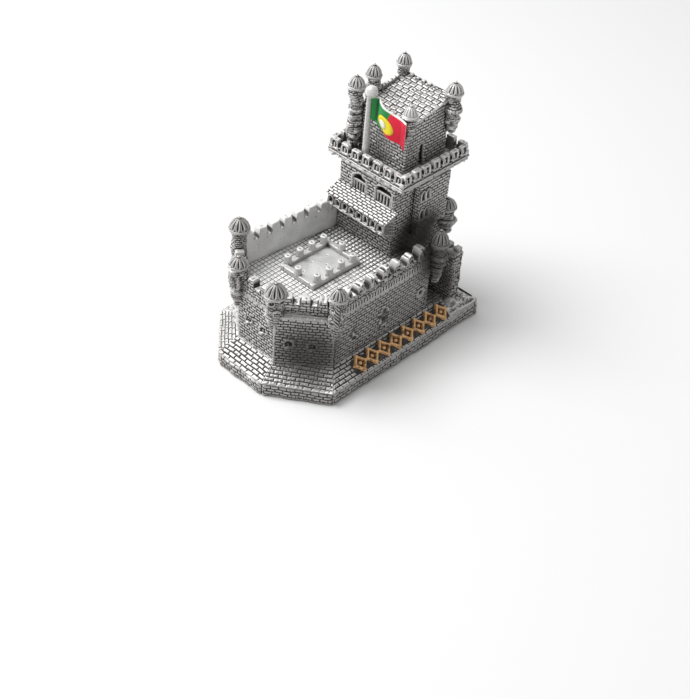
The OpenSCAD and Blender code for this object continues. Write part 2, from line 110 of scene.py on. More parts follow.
def noise(points, size, seed=0):
    """Soft noise from 0 to 1 whose lumps are about size across."""
    scaled = points / size
    cell = np.floor(scaled)
    f = smooth(scaled - cell)
    cell = cell.astype(np.int64)
    total = 0
    for dx in (0, 1):
        for dy in (0, 1):
            for dz in (0, 1):
                weight = np.abs(1 - dx - f[..., 0]) * np.abs(1 - dy - f[..., 1]) * np.abs(1 - dz - f[..., 2])
                total = total + weight * hash01(cell[..., 0] + dx, cell[..., 1] + dy, cell[..., 2] + dz, seed)
    return total


def fractal(points, size, seed=0):
    """Three layers of noise, from 0 to 1."""
    coarse, middle, fine = (noise(points, size / 2**k, seed + k) for k in range(3))
    return (coarse * 4 + middle * 2 + fine) / 7


def lumps(points, amount=1.0):
    """The uneven surface of the casting, in millimetres."""
    return amount * (0.34 * (fractal(points, 2.6, 5) - 0.5) + 0.1 * (noise(points, 0.45, 9) - 0.5))


def courses(u, v, length, height, joint=0.2, seed=0):
    """Staggered stones: 1 on a stone, 0 in a joint, with a level of its own for each stone."""
    row = np.floor(v / height)
    x = u / length + 0.5 * (row % 2) + 0.3 * hash01(row, seed)
    column = np.floor(x)
    edge_u = np.minimum(x - column, column + 1 - x) * length
    edge_v = np.minimum(v - row * height, (row + 1) * height - v)
    level = 1 - 0.35 * hash01(row, column, seed + 1)
    return smooth(np.minimum(edge_u, edge_v) / joint) * level


def masonry(u, v, points, length=2.2, height=1.05, depth=0.4, seed=0, worn=0.4, joint=0.32):
    """Relief of a wall of small stones, with patches worn almost smooth."""
    sway = 0.25 * (noise(points, 3.5, seed + 40) - 0.5)
    keep = worn + (1 - worn) * smooth((fractal(points, 6, seed + 20) - 0.3) / 0.25)
    keep = keep * (0.6 + 0.8 * noise(points, 1.8, seed + 60))
    return depth * keep * (courses(u, v + sway, length, height, joint, seed=seed) - 1) + lumps(points, 1.3)


def band(v, v0, v1, edge=0.22):
    """1 between two limits, falling to 0 over its edge."""
    return smooth((v - v0) / edge) * smooth((v1 - v) / edge)


def inside(u, v, u0, u1, v0, v1, edge=0.22):
    """1 inside a rectangle, falling to 0 over its edge."""
    return band(u, u0, u1, edge) * band(v, v0, v1, edge)


def arch(u, v, middle, foot, width, height, edge=0.2):
    """1 inside a round-headed opening."""
    r = width / 2
    spring = foot + height - r
    reach = np.where(v > spring, r - np.hypot(u - middle, v - spring), r - np.abs(u - middle))
    return smooth(np.minimum(reach, v - foot) / edge)


def disc(u, v, middle_u, middle_v, r, edge=0.2):
    """1 inside a circle."""
    return smooth((r - np.hypot(u - middle_u, v - middle_v)) / edge)


# ---- solids ----


def stack(loops):
    """A closed solid from closed loops of points laid one on another, with its ends filled."""
    rows, count = loops.shape[:2]
    points = np.concatenate([loops.reshape(-1, 3), loops[0].mean(0)[None], loops[-1].mean(0)[None]])
    row, column = np.meshgrid(np.arange(rows - 1), np.arange(count), indexing="ij")
    ahead = (column + 1) % count
    here, above = row * count, (row + 1) * count
    quads = np.stack([here + column, here + ahead, above + ahead, above + column], -1).reshape(-1, 4)
    k = np.arange(count)
    foot = np.stack([(k + 1) % count, k, np.full(count, rows * count)], -1)
    last = (rows - 1) * count
    head = np.stack([last + k, last + (k + 1) % count, np.full(count, rows * count + 1)], -1)
    return points, quads, np.concatenate([foot, head])


def skin(low, high, relief, step=STEP, round_r=0.4):
    """A solid between two rings of corners; relief(side, u, v, points) is pushed out of each side."""
    low, high = np.array(low, float), np.array(high, float)
    n = len(low)
    rows = max(2, round(max(np.linalg.norm(high - low, axis=1)) / step) + 1)
    t = np.linspace(0, 1, rows)[:, None, None]
    along = [low[(i + 1) % n] - low[i] for i in range(n)]
    up = high - low
    normals = [np.cross(along[i], up[i] + up[(i + 1) % n]) for i in range(n)]
    normals = [m / np.linalg.norm(m) for m in normals]
    parts = []
    for i in range(n):
        a, b, c, d = low[i], low[(i + 1) % n], high[(i + 1) % n], high[i]
        length = np.linalg.norm(b - a)
        count = max(1, round(length / step))
        f = (np.arange(count) / count)[None, :, None]
        points = (a + (b - a) * f) * (1 - t) + (d + (c - d) * f) * t
        u_dir = (b - a) / length
        v_dir = np.cross(normals[i], u_dir)
        u = (points - a) @ u_dir
        v = (points - a) @ v_dir
        run = f[..., 0] * length
        ahead, behind = length - run, run
        r = min(round_r, length / 3)
        near = np.clip(1 - np.minimum(ahead, behind) / r, 0, 1)
        other = np.where((behind < ahead)[..., None], normals[i - 1], normals[(i + 1) % n])
        normal = normals[i] * (1 - 0.5 * near[..., None]) + other * 0.5 * near[..., None]
        normal = normal / np.linalg.norm(normal, axis=-1, keepdims=True)
        out = relief(i, u, v, points) - r * (1 - np.sqrt(1 - near**2))
        parts.append(points + normal * out[..., None])
    return stack(np.concatenate(parts, axis=1))


def slab(a, b, thickness, z0, top, outer, inner, step=STEP, lip=0.3):
    """A wall from a to b whose top follows top(u).

    outer and inner are the reliefs (u, z, points) of its faces; the inner face lies to its left.
    """
    a, b = np.array(a, float), np.array(b, float)
    length = np.linalg.norm(b - a)
    u_dir = (b - a) / length
    left = np.array([-u_dir[1], u_dir[0]])
    u = np.linspace(0, length, max(2, round(length / step) + 1))
    ends = top(u)
    rows = max(3, round((ends.max() - z0) / step))
    t = np.linspace(0, 1, rows)
    phi = np.linspace(0, math.pi, 11)[1:-1]
    z_side = z0 + (ends[:, None] - lip - z0) * t
    z_top = ends[:, None] - lip + lip * np.sqrt(np.sin(phi))[None, :]
    across_top = thickness * (1 - np.cos(phi)) / 2

    def place(across, z):
        flat = a + u[:, None, None] * u_dir + across[..., None] * left
        return np.concatenate([flat, z[..., None]], -1)

    u_side = np.broadcast_to(u[:, None], z_side.shape)
    out_points = place(np.zeros_like(z_side), z_side)
    in_points = place(np.full_like(z_side, thickness), z_side)
    top_points = place(np.broadcast_to(across_top, z_top.shape), z_top)
    out_points[..., :2] -= left * outer(u_side, z_side, out_points)[..., None]
    in_points[..., :2] += left * inner(u_side, z_side, in_points)[..., None]
    top_points[..., 2] += lumps(top_points)
    loops = np.concatenate([out_points, top_points, in_points[:, ::-1]], axis=1)
    return stack(loops)


def lathe(centre, profile, relief, step=STEP):
    """A solid turned about an upright axis; relief(angle, z, points) is pushed outwards."""
    profile = np.array(profile, float)
    run = np.concatenate([[0], np.cumsum(np.linalg.norm(np.diff(profile, axis=0), axis=1))])
    s = np.linspace(0, run[-1], max(4, round(run[-1] / step)))
    radius, z = np.interp(s, run, profile[:, 0]), np.interp(s, run, profile[:, 1])
    count = max(24, round(TAU * radius.max() / step))
    angle = np.arange(count) / count * TAU
    circle = np.stack([np.cos(angle), np.sin(angle)], -1)
    flat = np.array(centre[:2]) + radius[:, None, None] * circle
    points = np.concatenate([flat, np.broadcast_to(z[:, None, None], flat.shape[:2] + (1,))], -1)
    out = relief(np.broadcast_to(angle, points.shape[:2]), points[..., 2], points)
    out = out * smooth(radius / 0.5)[:, None]
    points[..., :2] += circle * out[..., None]
    return stack(points)


def plate(grid, thickness, relief, normal=(0, 0, 1)):
    """A slab under a grid of top points; relief(points) is pushed along the normal."""
    normal = np.array(normal, float)
    top = grid + relief(grid)[..., None] * normal
    under = grid[:, [-1, 0]] - normal * thickness
    return stack(np.concatenate([top, under], axis=1))


def rectangle(origin, across, along, step=STEP):
    """A grid of points on a parallelogram."""
    origin, across, along = (np.array(p, float) for p in (origin, across, along))
    n, m = (max(2, round(np.linalg.norm(p) / step) + 1) for p in (across, along))
    f, g = np.meshgrid(np.linspace(0, 1, n), np.linspace(0, 1, m), indexing="ij")
    return origin + f[..., None] * across + g[..., None] * along


def plain_side(side, u, v, points):
    return lumps(points)


def fine_side(side, u, v, points):
    return lumps(points, 0.4)


def block(low, high, relief=plain_side, step=STEP, round_r=0.3):
    """A box-shaped solid."""
    ring = ring_of(low, high)
    return skin(ring3(ring, low[2]), ring3(ring, high[2]), relief, step, round_r)


# ---- meshes ----


def turned_out(solid):
    """The solid with its faces looking outwards."""
    p, q, t = solid
    faces = np.concatenate([q[:, [0, 1, 2]], q[:, [0, 2, 3]], t])
    a, b, c = p[faces[:, 0]], p[faces[:, 1]], p[faces[:, 2]]
    if np.einsum("ij,ij->", a - p.mean(0), np.cross(b - p.mean(0), c - p.mean(0))) < 0:
        return p, q[:, ::-1], t[:, ::-1]
    return solid


def new_mesh(name, solids):
    """One mesh of several solids."""
    offset, points, quads, triangles = 0, [], [], []
    for p, q, t in (turned_out(solid) for solid in solids):
        points.append(p)
        quads.append(q + offset)
        triangles.append(t + offset)
        offset += len(p)
    points, quads, triangles = (np.concatenate(parts) for parts in (points, quads, triangles))
    corner = np.concatenate([quads.ravel(), triangles.ravel()])
    sizes = np.concatenate([np.full(len(quads), 4), np.full(len(triangles), 3)])
    starts = np.concatenate([[0], np.cumsum(sizes)[:-1]])
    mesh = bpy.data.meshes.new(name)
    mesh.vertices.add(len(points))
    mesh.vertices.foreach_set("co", (points * MM).ravel())
    mesh.loops.add(len(corner))
    mesh.loops.foreach_set("vertex_index", corner.astype(np.int32))
    mesh.polygons.add(len(sizes))
    mesh.polygons.foreach_set("loop_start", starts.astype(np.int32))
    mesh.update(calc_edges=True)
    mesh.shade_smooth()
    return mesh


def shown(name, data):
    """A new object in the scene."""
    ob = bpy.data.objects.new(name, data)
    bpy.context.scene.collection.objects.link(ob)
    return ob


def cast(name, solids, voxel=0.13, soften=2):
    """Solids melted into one soft surface, as a mould makes them."""
    ob = shown(name, new_mesh(name, solids))
    remesh = ob.modifiers.new("remesh", "REMESH")
    remesh.mode = "VOXEL"
    remesh.voxel_size = voxel * MM
    relax = ob.modifiers.new("relax", "SMOOTH")
    relax.iterations = soften
    made = bpy.data.meshes.new_from_object(ob.evaluated_get(bpy.context.evaluated_depsgraph_get()))
    bpy.data.objects.remove(ob)
    made.materials.clear()
    made.shade_smooth()
    return made


# After so many rounds of smoothing: the name of the layer, and the movement in mm that fills it
HOLLOW_LAYERS = {5: ("groove", 0.075), 24: ("hollow", 0.22)}


def mark_hollows(mesh):
    """Stores how deep each point lies: 0.5 is flat, 1 deep in a groove, 0 on a sharp edge."""
    count = len(mesh.vertices)
    start = np.empty(count * 3, np.float32)
    mesh.vertices.foreach_get("co", start)
    start = start.reshape(-1, 3).astype(float) / MM
    normal = np.empty(count * 3, np.float32)
    mesh.vertex_normals.foreach_get("vector", normal)
    normal = normal.reshape(-1, 3)
    edges = np.empty(len(mesh.edges) * 2, np.int32)
    mesh.edges.foreach_get("vertices", edges)
    a, b = edges.reshape(-1, 2).T
    share = 1 / np.maximum(np.bincount(a, minlength=count) + np.bincount(b, minlength=count), 1)
    moved = start.copy()
    for round_number in range(1, max(HOLLOW_LAYERS) + 1):
        sums = [np.bincount(a, m[b], count) + np.bincount(b, m[a], count) for m in moved.T]
        moved = np.stack([total * share for total in sums], -1)
        if round_number in HOLLOW_LAYERS:
            layer_name, full = HOLLOW_LAYERS[round_number]
            depth = np.einsum("ij,ij->i", moved - start, normal)
            layer = mesh.attributes.new(layer_name, "FLOAT", "POINT")
            layer.data.foreach_set("value", np.clip(0.5 + depth / full / 2, 0, 1).astype(np.float32))


def piece(node, shape, material):
    """Puts a finished mesh, or the solids it is made from, in the scene in place of a CAD node."""
    name = "cast_" + node
    mesh = shape if isinstance(shape, bpy.types.Mesh) else new_mesh(name, shape)
    mark_hollows(mesh)
    ob = shown(name, mesh)
    mesh.materials.append(material)
    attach(ob, "root")
    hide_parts(node)


# ---- materials ----


def node_tools(name):
    """A new material, and a function that adds a node to it and fills or links its inputs."""
    material = bpy.data.materials.new(name)
    material.use_nodes = True
    tree = material.node_tree
    tree.nodes.clear()

    def add(kind, **values):
        node = tree.nodes.new("ShaderNode" + kind)
        inputs = values.pop("inputs", {})
        for key, value in values.items():
            setattr(node, key, value)
        for key, value in inputs.items():
            if isinstance(value, bpy.types.NodeSocket):
                tree.links.new(value, node.inputs[key])
            else:
                node.inputs[key].default_value = value
        return node

    return material, add


def math_node(add, operation, a, b=0.0, clamp=False):
    return add("Math", operation=operation, use_clamp=clamp, inputs={0: a, 1: b}).outputs[0]


def spread(add, value, low, high, to_low=0.0, to_high=1.0):
    """value mapped from low..high to to_low..to_high, smoothly and clamped."""
    inputs = {"Value": value, "From Min": low, "From Max": high, "To Min": to_low, "To Max": to_high}
    return add("MapRange", interpolation_type="SMOOTHSTEP", inputs=inputs).outputs["Result"]


def mix_colour(add, factor, a, b):
    node = add("Mix", data_type="RGBA")
    tree = node.id_data
    for socket, value in ((node.inputs[0], factor), (node.inputs[6], a), (node.inputs[7], b)):
        if isinstance(value, bpy.types.NodeSocket):
            tree.links.new(value, socket)
        else:
            socket.default_value = (*value, 1)
    return node.outputs[2]


def cloud(add, where, size, detail):
    """Noise from 0 to 1 whose clouds are about size across."""
    inputs = {"Vector": where, "Scale": 1 / (size * MM), "Detail": detail}
    return add("TexNoise", inputs=inputs).outputs["Fac"]


def bump(add, height, strength, distance):
    """A fine grain with that height, in millimetres."""
    inputs = {"Height": height, "Strength": strength, "Distance": distance * MM}
    return add("Bump", inputs=inputs).outputs[0]


def stored(add, layer, output="Fac"):
    """A value stored in the mesh."""
    return add("Attribute", attribute_name=layer).outputs[output]


def surface(add, inputs):
    """The shader that ends a material."""
    shader = add("BsdfPrincipled", inputs=inputs)
    add("OutputMaterial", inputs={"Surface": shader.outputs[0]})


# The dark wash's colour, also used for painted shade and painted shadow
WASH_AND_SHADE_TONE = (0.022, 0.016, 0.013)
BROWN = (0.11, 0.08, 0.06)
# The colour of the painted shade on walls that face away from the key light
PAINTED_SHADE = (0.085, 0.078, 0.075)
# Light colour of worn edges, also used as a painted highlight
WORN_AND_HIGHLIGHT = (0.88, 0.88, 0.87)
# Painted shade: the walls that face this way, to the right of the prow and away from the key light, are
# darkened most
PAINTED_SHADE_SIDE = (-0.5, -0.87, 0.0)
# Painted shadow and painted shade, as middle, reach, core and amount: in the nook beside the tower's foot,
# on the chamfer and in the doorway
PAINTED_SHADOWS = (
    ((23, -14.5, 30.5), 15, 7, 0.97),
    ((-28.5, -16, 14), 15, 4, 0.8),
    ((26, -17, 14), 10, 4, 0.9),
)


def stone_paint(name, light, deep, wash=1.0, brown_tint=0.35, metal=0.3, brown_tint_height=14.0, shade=1.0,
                open_at=0.62, speck=0.16):
    """Silver-grey paint with a dark wash left in the hollows and edges worn light, plus painted shade,
    painted shadows and painted highlights.

    light and deep are its two tones. wash, stain, metal and shade are amounts from 0 to 1: of the
    dark wash together with the painted shade of enclosed spots, of brown up to brown_tint_height (partly
    staining, partly painted bounce light), of metal, and of painted shade on the walls that face away
    from the key light. open_at is how enclosed a spot is where that painted shade starts to show, and
    speck how far the wash breaks up in specks.
    """
    material, add = node_tools(name)
    where = add("TexCoord").outputs["Object"]
    groove = stored(add, "groove")
    hollow = stored(add, "hollow")
    patches = cloud(add, where, 7, 4)
    specks = cloud(add, where, 0.6, 2)
    # Ambient occlusion, used for the painted shade of enclosed spots
    open_air = add("AmbientOcclusion", samples=6, inputs={"Distance": 8.0 * MM}).outputs["AO"]
    open_close = add("AmbientOcclusion", samples=12, inputs={"Distance": 1.8 * MM}).outputs["AO"]

    tone = mix_colour(add, spread(add, patches, 0.35, 0.65), deep, light)
    tone = mix_colour(add, spread(add, cloud(add, where, 1.3, 3), 0.5, 0.8, 0, 0.45), tone, deep)
    speckled = math_node(add, "ADD", groove, math_node(add, "MULTIPLY", specks, speck))
    in_joint = spread(add, speckled, 0.565, 0.79)
    in_hollow = spread(add, hollow, 0.53, 0.85, 0, 0.8)
    # Painted shade: darker in enclosed spots, corners and recesses
    occlusion_shade = spread(add, open_air, open_at, 0.1, 0, 0.85)
    occlusion_shade = math_node(add, "MAXIMUM", occlusion_shade, spread(add, open_close, 0.7, 0.3, 0, 0.97))
    # The dark wash in joints and hollows, together with the painted shade of enclosed spots
    wash_and_shade = math_node(add, "MAXIMUM", math_node(add, "MAXIMUM", in_joint, in_hollow), occlusion_shade)
    patchy = spread(add, patches, 0.2, 0.6, 0.75 * wash, wash)
    wash_and_shade = math_node(add, "MULTIPLY", wash_and_shade, patchy, clamp=True)
    # Painted shadow and painted shade laid over the spots in the table above
    for middle, reach, core, amount in PAINTED_SHADOWS:
        middle = tuple(c * MM for c in middle)
        far = add("VectorMath", operation="DISTANCE", inputs={0: where, 1: middle})
        shadow_share = spread(add, far.outputs["Value"], reach * MM, core * MM, 0, amount)
        wash_and_shade = math_node(add, "MAXIMUM", wash_and_shade, shadow_share)

    height = add("SeparateXYZ", inputs={0: where}).outputs["Z"]
    normal = add("NewGeometry").outputs["Normal"]
    # Painted shade on the walls that face away from the key light, to the right of the prow
    facing = add("VectorMath", operation="DOT_PRODUCT", inputs={0: normal, 1: PAINTED_SHADE_SIDE})
    side_shade = spread(add, facing.outputs["Value"], 0.15, 0.65)
    # The painted side shade grows heavier towards the bottom
    lower = spread(add, height, 75 * MM, 6 * MM, 0.35 * shade, 0.88 * shade)
    side_shade = math_node(add, "MULTIPLY", side_shade, lower, clamp=True)
    # Brown in patches towards the bottom: partly staining, partly painted brown bounce light from below
    low_down = spread(add, height, brown_tint_height * MM, 0.0)
    brown_tints = spread(add, cloud(add, where, 3.2, 5), 0.42, 0.68, 0, brown_tint)
    browned = math_node(add, "MULTIPLY", low_down, brown_tints, clamp=True)
    # Edges worn light: partly silver dry-brushed onto the raised edges, partly a painted highlight, kept
    # weaker where the painted side shade lies
    worn_and_highlit = spread(add, groove, 0.45, 0.22, 0, 0.8)
    unshaded_share = math_node(add, "SUBTRACT", 1.0, math_node(add, "MULTIPLY", side_shade, 0.6))
    edge = math_node(add, "MULTIPLY", worn_and_highlit, unshaded_share)

    colour = tone
    for share, over in ((side_shade, PAINTED_SHADE), (browned, BROWN), (edge, WORN_AND_HIGHLIGHT), (wash_and_shade, WASH_AND_SHADE_TONE)):
        colour = mix_colour(add, share, colour, over)
    metallic = math_node(add, "MULTIPLY", math_node(add, "SUBTRACT", 1.0, wash_and_shade), metal)
    surface(add, {"Base Color": colour, "Roughness": spread(add, wash_and_shade, 0, 1, 0.4, 0.7),
                  "Normal": bump(add, cloud(add, where, 0.22, 2), 0.25, 0.06), "Metallic": metallic})
    return material


WALL = stone_paint("wall_paint", (0.54, 0.53, 0.525), (0.3, 0.285, 0.278), open_at=0.5)
FOOT = stone_paint("foot_paint", (0.72, 0.71, 0.7), (0.42, 0.405, 0.39), brown_tint=0.75, brown_tint_height=11.0)
PAVING = stone_paint("paving_paint", (0.9, 0.9, 0.9), (0.74, 0.74, 0.73), open_at=0.42, speck=0.12)
ROOF = stone_paint("roof_paint", (0.49, 0.455, 0.45), (0.3, 0.27, 0.265))
TURRET = stone_paint("turret_paint", (0.54, 0.53, 0.525), (0.28, 0.27, 0.262))
PALE = stone_paint("pale_paint", (0.72, 0.72, 0.71), (0.58, 0.58, 0.57), wash=0.85, shade=0.25,
                   open_at=0.5, speck=0.07)
# Paler paint for the left parapet: partly its own pale paint, partly painted bounce light on its inner face,
# with no painted side shade
PALE_AND_BOUNCE_LIT = stone_paint("pale_and_bounce_lit_paint", (0.86, 0.86, 0.85), (0.7, 0.7, 0.69), shade=0.0, open_at=0.4,
                   metal=0.1, speck=0.07)
POLE = stone_paint("pole_paint", (0.74, 0.74, 0.72), (0.62, 0.61, 0.59), wash=0.6, brown_tint=0.1,
                   metal=0.15)


# ---- foot ----


SKIRT_TOP = box("base_plinth")[1][2]
WALL_FOOT = box("glacis")[1][2]
RIGHT_END, _, TERRACE = box("bastion_body")[1]
TOWER_LOW, TOWER_HIGH = box("tower_body")
# The top of the sloping foot, from the right end of the prow, counter-clockwise
FOOT_TOP = corners("glacis", WALL_FOOT)
back_ends = corners("bastion_body", TERRACE)
back_ends = back_ends[back_ends[:, 0] > RIGHT_END - 0.01]
# The bastion's outline: the same, but cut square where the walls meet the tower
OUTLINE = FOOT_TOP.copy()
OUTLINE[2] = RIGHT_END, back_ends[:, 1].min()
OUTLINE[3] = RIGHT_END, back_ends[:, 1].max()
# The sides of the foot and the bastion, in the order of the outline's corners
CHAMFER, RIGHT, BACK, LEFT, FRONT_LEFT, PROW = range(6)
FOOT_STONES = {"length": 2.7, "height": 1.3, "worn": 0.6}


def skirt_relief(side, u, v, points):
    big = masonry(u, v + 0.1, points, length=2.5, height=1.15, depth=0.42, seed=3, worn=0.25)
    big = big + 0.8 * (fractal(points, 4, 141) - 0.5)
    return big - 0.45 * smooth((0.7 - v) / 0.7) - 0.55 * smooth((v - SKIRT_TOP + 0.9) / 0.9)


def build_plinth():
    outline = corners("base_plinth", 0)
    solid = skin(ring3(outline, 0), ring3(outline, SKIRT_TOP), skirt_relief, round_r=1.4)
    piece("base_plinth", [solid], FOOT)


def ledge(wall, edge_y, outwards):
    """Paving on the flat top of the sloping foot, between a wall's line and the foot's edge."""
    step, under_wall, proud = 0.24, 0.5, 0.4
    wall = np.array(wall, float)
    x = np.arange(wall[0, 0], wall[-1, 0] - 0.1, step)
    y = np.interp(x, wall[:, 0], wall[:, 1]) - under_wall * outwards
    share = np.linspace(0, 1, max(2, round(abs(edge_y - y).max() / step)))
    across = y[:, None] + (edge_y - y)[:, None] * share
    grid = np.stack(np.broadcast_arrays(x[:, None], across, WALL_FOOT + proud), -1)

    def relief(points):
        return masonry(points[..., 0], points[..., 1], points, depth=0.35, seed=17, **FOOT_STONES)

    return plate(grid, 2 * proud, relief)


def build_glacis():
    low, high = corners("glacis", SKIRT_TOP), FOOT_TOP

    def relief(side, u, v, points):
        depth = 0.2 if side == CHAMFER else 0.42
        return masonry(u, v, points, depth=depth, seed=11 + side, joint=0.38, **FOOT_STONES)

    solid = skin(ring3(low, SKIRT_TOP), ring3(high, WALL_FOOT), relief, round_r=0.3)
    end, rim = high[:, 0].max(), 0.15
    tower_right, tower_left = TOWER_LOW[1], TOWER_HIGH[1]
    left = [FOOT_TOP[4], OUTLINE[3], (RIGHT_END + 0.01, tower_left), (end, tower_left)]
    right = [(RIGHT_END, tower_right), (end, tower_right)]
    left_ledge = ledge(left, high[:, 1].max() - rim, 1)
    right_ledge = ledge(right, high[:, 1].min() + rim, -1)
    piece("glacis", [solid, left_ledge, right_ledge], FOOT)


# ---- bastion ----

PARAPET_T = 2.8
# How far the wall of the chamfer stands proud of its parapet
CHAMFER_PROUD = 0.9
# Gun openings: distance along the wall and height of the sill
EMBRASURES = {
    CHAMFER: ((4.6, 16.0), (11.8, 15.6)),
    PROW: ((5.0, 17.6), (11.4, 17.2)),
    LEFT: ((12.0, 16.0), (28.0, 16.0)),
    FRONT_LEFT: ((6.0, 17.0),),
}


def bastion_relief(side, u, v, points):
    out = masonry(u, v, points, seed=20 + side)
    z = points[..., 2]
    if side == CHAMFER:
        out = out + CHAMFER_PROUD
    for middle, sill in EMBRASURES.get(side, ()):
        hood = disc(u, z, middle, sill + 1.2, 2.6, 1.2)
        out = out + 0.45 * hood - 1.0 * arch(u, z, middle, sill, 2.8, 2.3, 0.6)
        out = out + 0.6 * disc(u, z, middle - 0.5, sill + 0.3, 1.2, 0.6)
    if side == RIGHT:
        worn = smooth((fractal(points, 5, 77) - 0.5) / 0.12) * inside(u, z, 4, 26, 9.5, 22, 4)
        out = out * (1 - 0.8 * worn) + worn * 2.2 * (noise(points, 1.9, 78) - 0.5)
        loop_u, loop_z = 38.7, 17.2
        out = out + 0.5 * disc(u, z, loop_u, loop_z, 2.2, 0.5) - 1.7 * disc(u, z, loop_u, loop_z, 1.25, 0.4)
    return out


def build_bastion():
    solid = skin(ring3(OUTLINE, WALL_FOOT - 0.3), ring3(OUTLINE, TERRACE), bastion_relief, step=0.185)
    piece("bastion_body", [solid], WALL)


def build_terrace():
    margin = PARAPET_T / 2
    x = np.arange(OUTLINE[0][0] + margin, RIGHT_END, STEP)
    lower = OUTLINE[[0, 1, 2]]
    upper = OUTLINE[[5, 4, 3]]
    y0 = np.interp(x, lower[:, 0], lower[:, 1]) + margin
    y1 = np.interp(x, upper[:, 0], upper[:, 1]) - margin
    share = np.linspace(0, 1, round((y1 - y0).max() / STEP))
    top = box("terrace_paving")[1][2]
    across = y0[:, None] + (y1 - y0)[:, None] * share
    grid = np.stack(np.broadcast_arrays(x[:, None], across, top), -1)

    def relief(points):
        tile = 1.55
        sway = 0.3 * (noise(points, 5, 3) - 0.5)
        px, py = points[..., 0] + sway, points[..., 1] - sway
        row, column = np.floor(px / tile), np.floor(py / tile)
        edge_x = np.minimum(px - row * tile, (row + 1) * tile - px)
        edge_y = np.minimum(py - column * tile, (column + 1) * tile - py)
        near_tower = smooth((px + 6) / 14)
        joints = smooth(np.minimum(edge_x, edge_y) / (0.22 + 0.2 * near_tower)) - 1
        level = 0.12 * hash01(row, column, 7) * (0.4 + near_tower)
        return (0.2 + 0.3 * near_tower) * joints - level + lumps(points, 0.35)

    piece("terrace_paving", [plate(grid, top - TERRACE + 0.3, relief)], PAVING)


def battlement(base, centres, width, height, soft=0.3, ragged=0.3, seed=0):
    """The height of a wall's top: base, with merlons of that width and height about the centres."""

    def top(u):
        rise = np.zeros_like(u)
        for k, centre in enumerate(centres):
            far = np.abs(u - centre)
            shape = smooth((width / 2 - far) / soft)
            rise = np.maximum(rise, shape * (0.9 + 0.2 * hash01(k, seed)))
        along = np.stack([u, np.full_like(u, seed), np.zeros_like(u)], -1)
        return base + height * rise + ragged * (noise(along, 0.9, seed) - 0.5)

    return top


def plain(u, z, points):
    return lumps(points)


def smoothed(u, z, points):
    return lumps(points, 0.5)


def broken_top(u, z, points):
    """A face that is worn to lumps at its top."""
    return 1.5 * (noise(points, 1.6, 38) - 0.5) * smooth((z - TERRACE - 4.5) / 0.6) + lumps(points)


def bricks(seed):
    return lambda u, z, points: masonry(u, z, points, seed=seed)


def crumbling(centres):
    """The outside of the right parapet: a row of small corbel ribs, under merlons worn to lumps."""

    def relief(u, z, points):
        v = z - TERRACE
        out = lumps(points)
        ribs = np.abs(np.sin(math.pi * u / 1.2))
        out = out + 0.4 * (ribs - 0.7) * band(v, 0.2, 2.2, 0.3)
        out = out + masonry(u, v, points, seed=32, worn=0.8) * band(v, 2.3, 4.4, 0.3)
        chips = 2.2 * (noise(points, 1.4, 36) - 0.5) - 1.5 * smooth((noise(points, 1.0, 37) - 0.58) / 0.1)
        out = out + smooth((v - 4.2) / 0.5) * chips
        for centre in centres:
            out = out - 1.3 * disc(u, v, centre + 1.9, 4.9, 0.75, 0.5)
        return out

    return relief


def dark_band(u, z, points):
    """The outside of the wall above the chamfer: a shadowed band under a projecting course of stones."""
    v = z - TERRACE
    out = masonry(u, z, points, seed=33, worn=0.6)
    return out - 0.9 * band(v, 0.3, 3.2, 0.3) + 0.45 * smooth((v - 3.2) / 0.3)


def build_parapets():
    def wall(name, edge, top, outer, inner=plain, paint=WALL):
        a, b = OUTLINE[edge], OUTLINE[(edge + 1) % 6]
        piece(name, [slab(a, b, PARAPET_T, TERRACE, top, outer, inner)], paint)

    top = battlement(TERRACE + 4.6, (5.3, 10.9), 2.7, 2.4, seed=1)
    wall("parapet_front", PROW, top, bricks(31))
    top = battlement(TERRACE + 5.0, (3.9, 9.2, 14.4), 3.0, 1.9, seed=2)
    wall("parapet_front_right", CHAMFER, top, dark_band)
    centres = 5.0 + 5.4 * np.arange(7)
    top = battlement(TERRACE + 5.2, centres, 4.0, 2.7, soft=0.8, ragged=1.6, seed=3)
    wall("parapet_right", RIGHT, top, crumbling(centres), broken_top)
    centres = 4.4 + 4.9 * np.arange(9)
    top = battlement(TERRACE + 9.3, centres, 3.3, 2.8, seed=4)
    wall("parapet_left", LEFT, top, bricks(34), smoothed, PALE_AND_BOUNCE_LIT)
    top = battlement(TERRACE + 6.2, (4.1, 8.1), 2.2, 2.4, seed=5)
    wall("parapet_front_left", FRONT_LEFT, top, bricks(35))


# ---- well ----

CURB_H = 1.8
# Small pits in the well's floor, as shares of its length and width
PITS = ((0.25, 0.3), (0.45, 0.75), (0.6, 0.4), (0.8, 0.7), (0.15, 0.6))


def post(x, y, foot, r=1.15, height=2.9):
    """A short round post with a hole in its top."""
    top = foot + height
    profile = [(0, foot), (r, foot), (r, top - 0.15), (r - 0.2, top), (0.3, top), (0.15, top - 0.7),
               (0, top - 0.7)]
    return lathe((x, y), profile, lambda angle, z, points: lumps(points, 0.6))


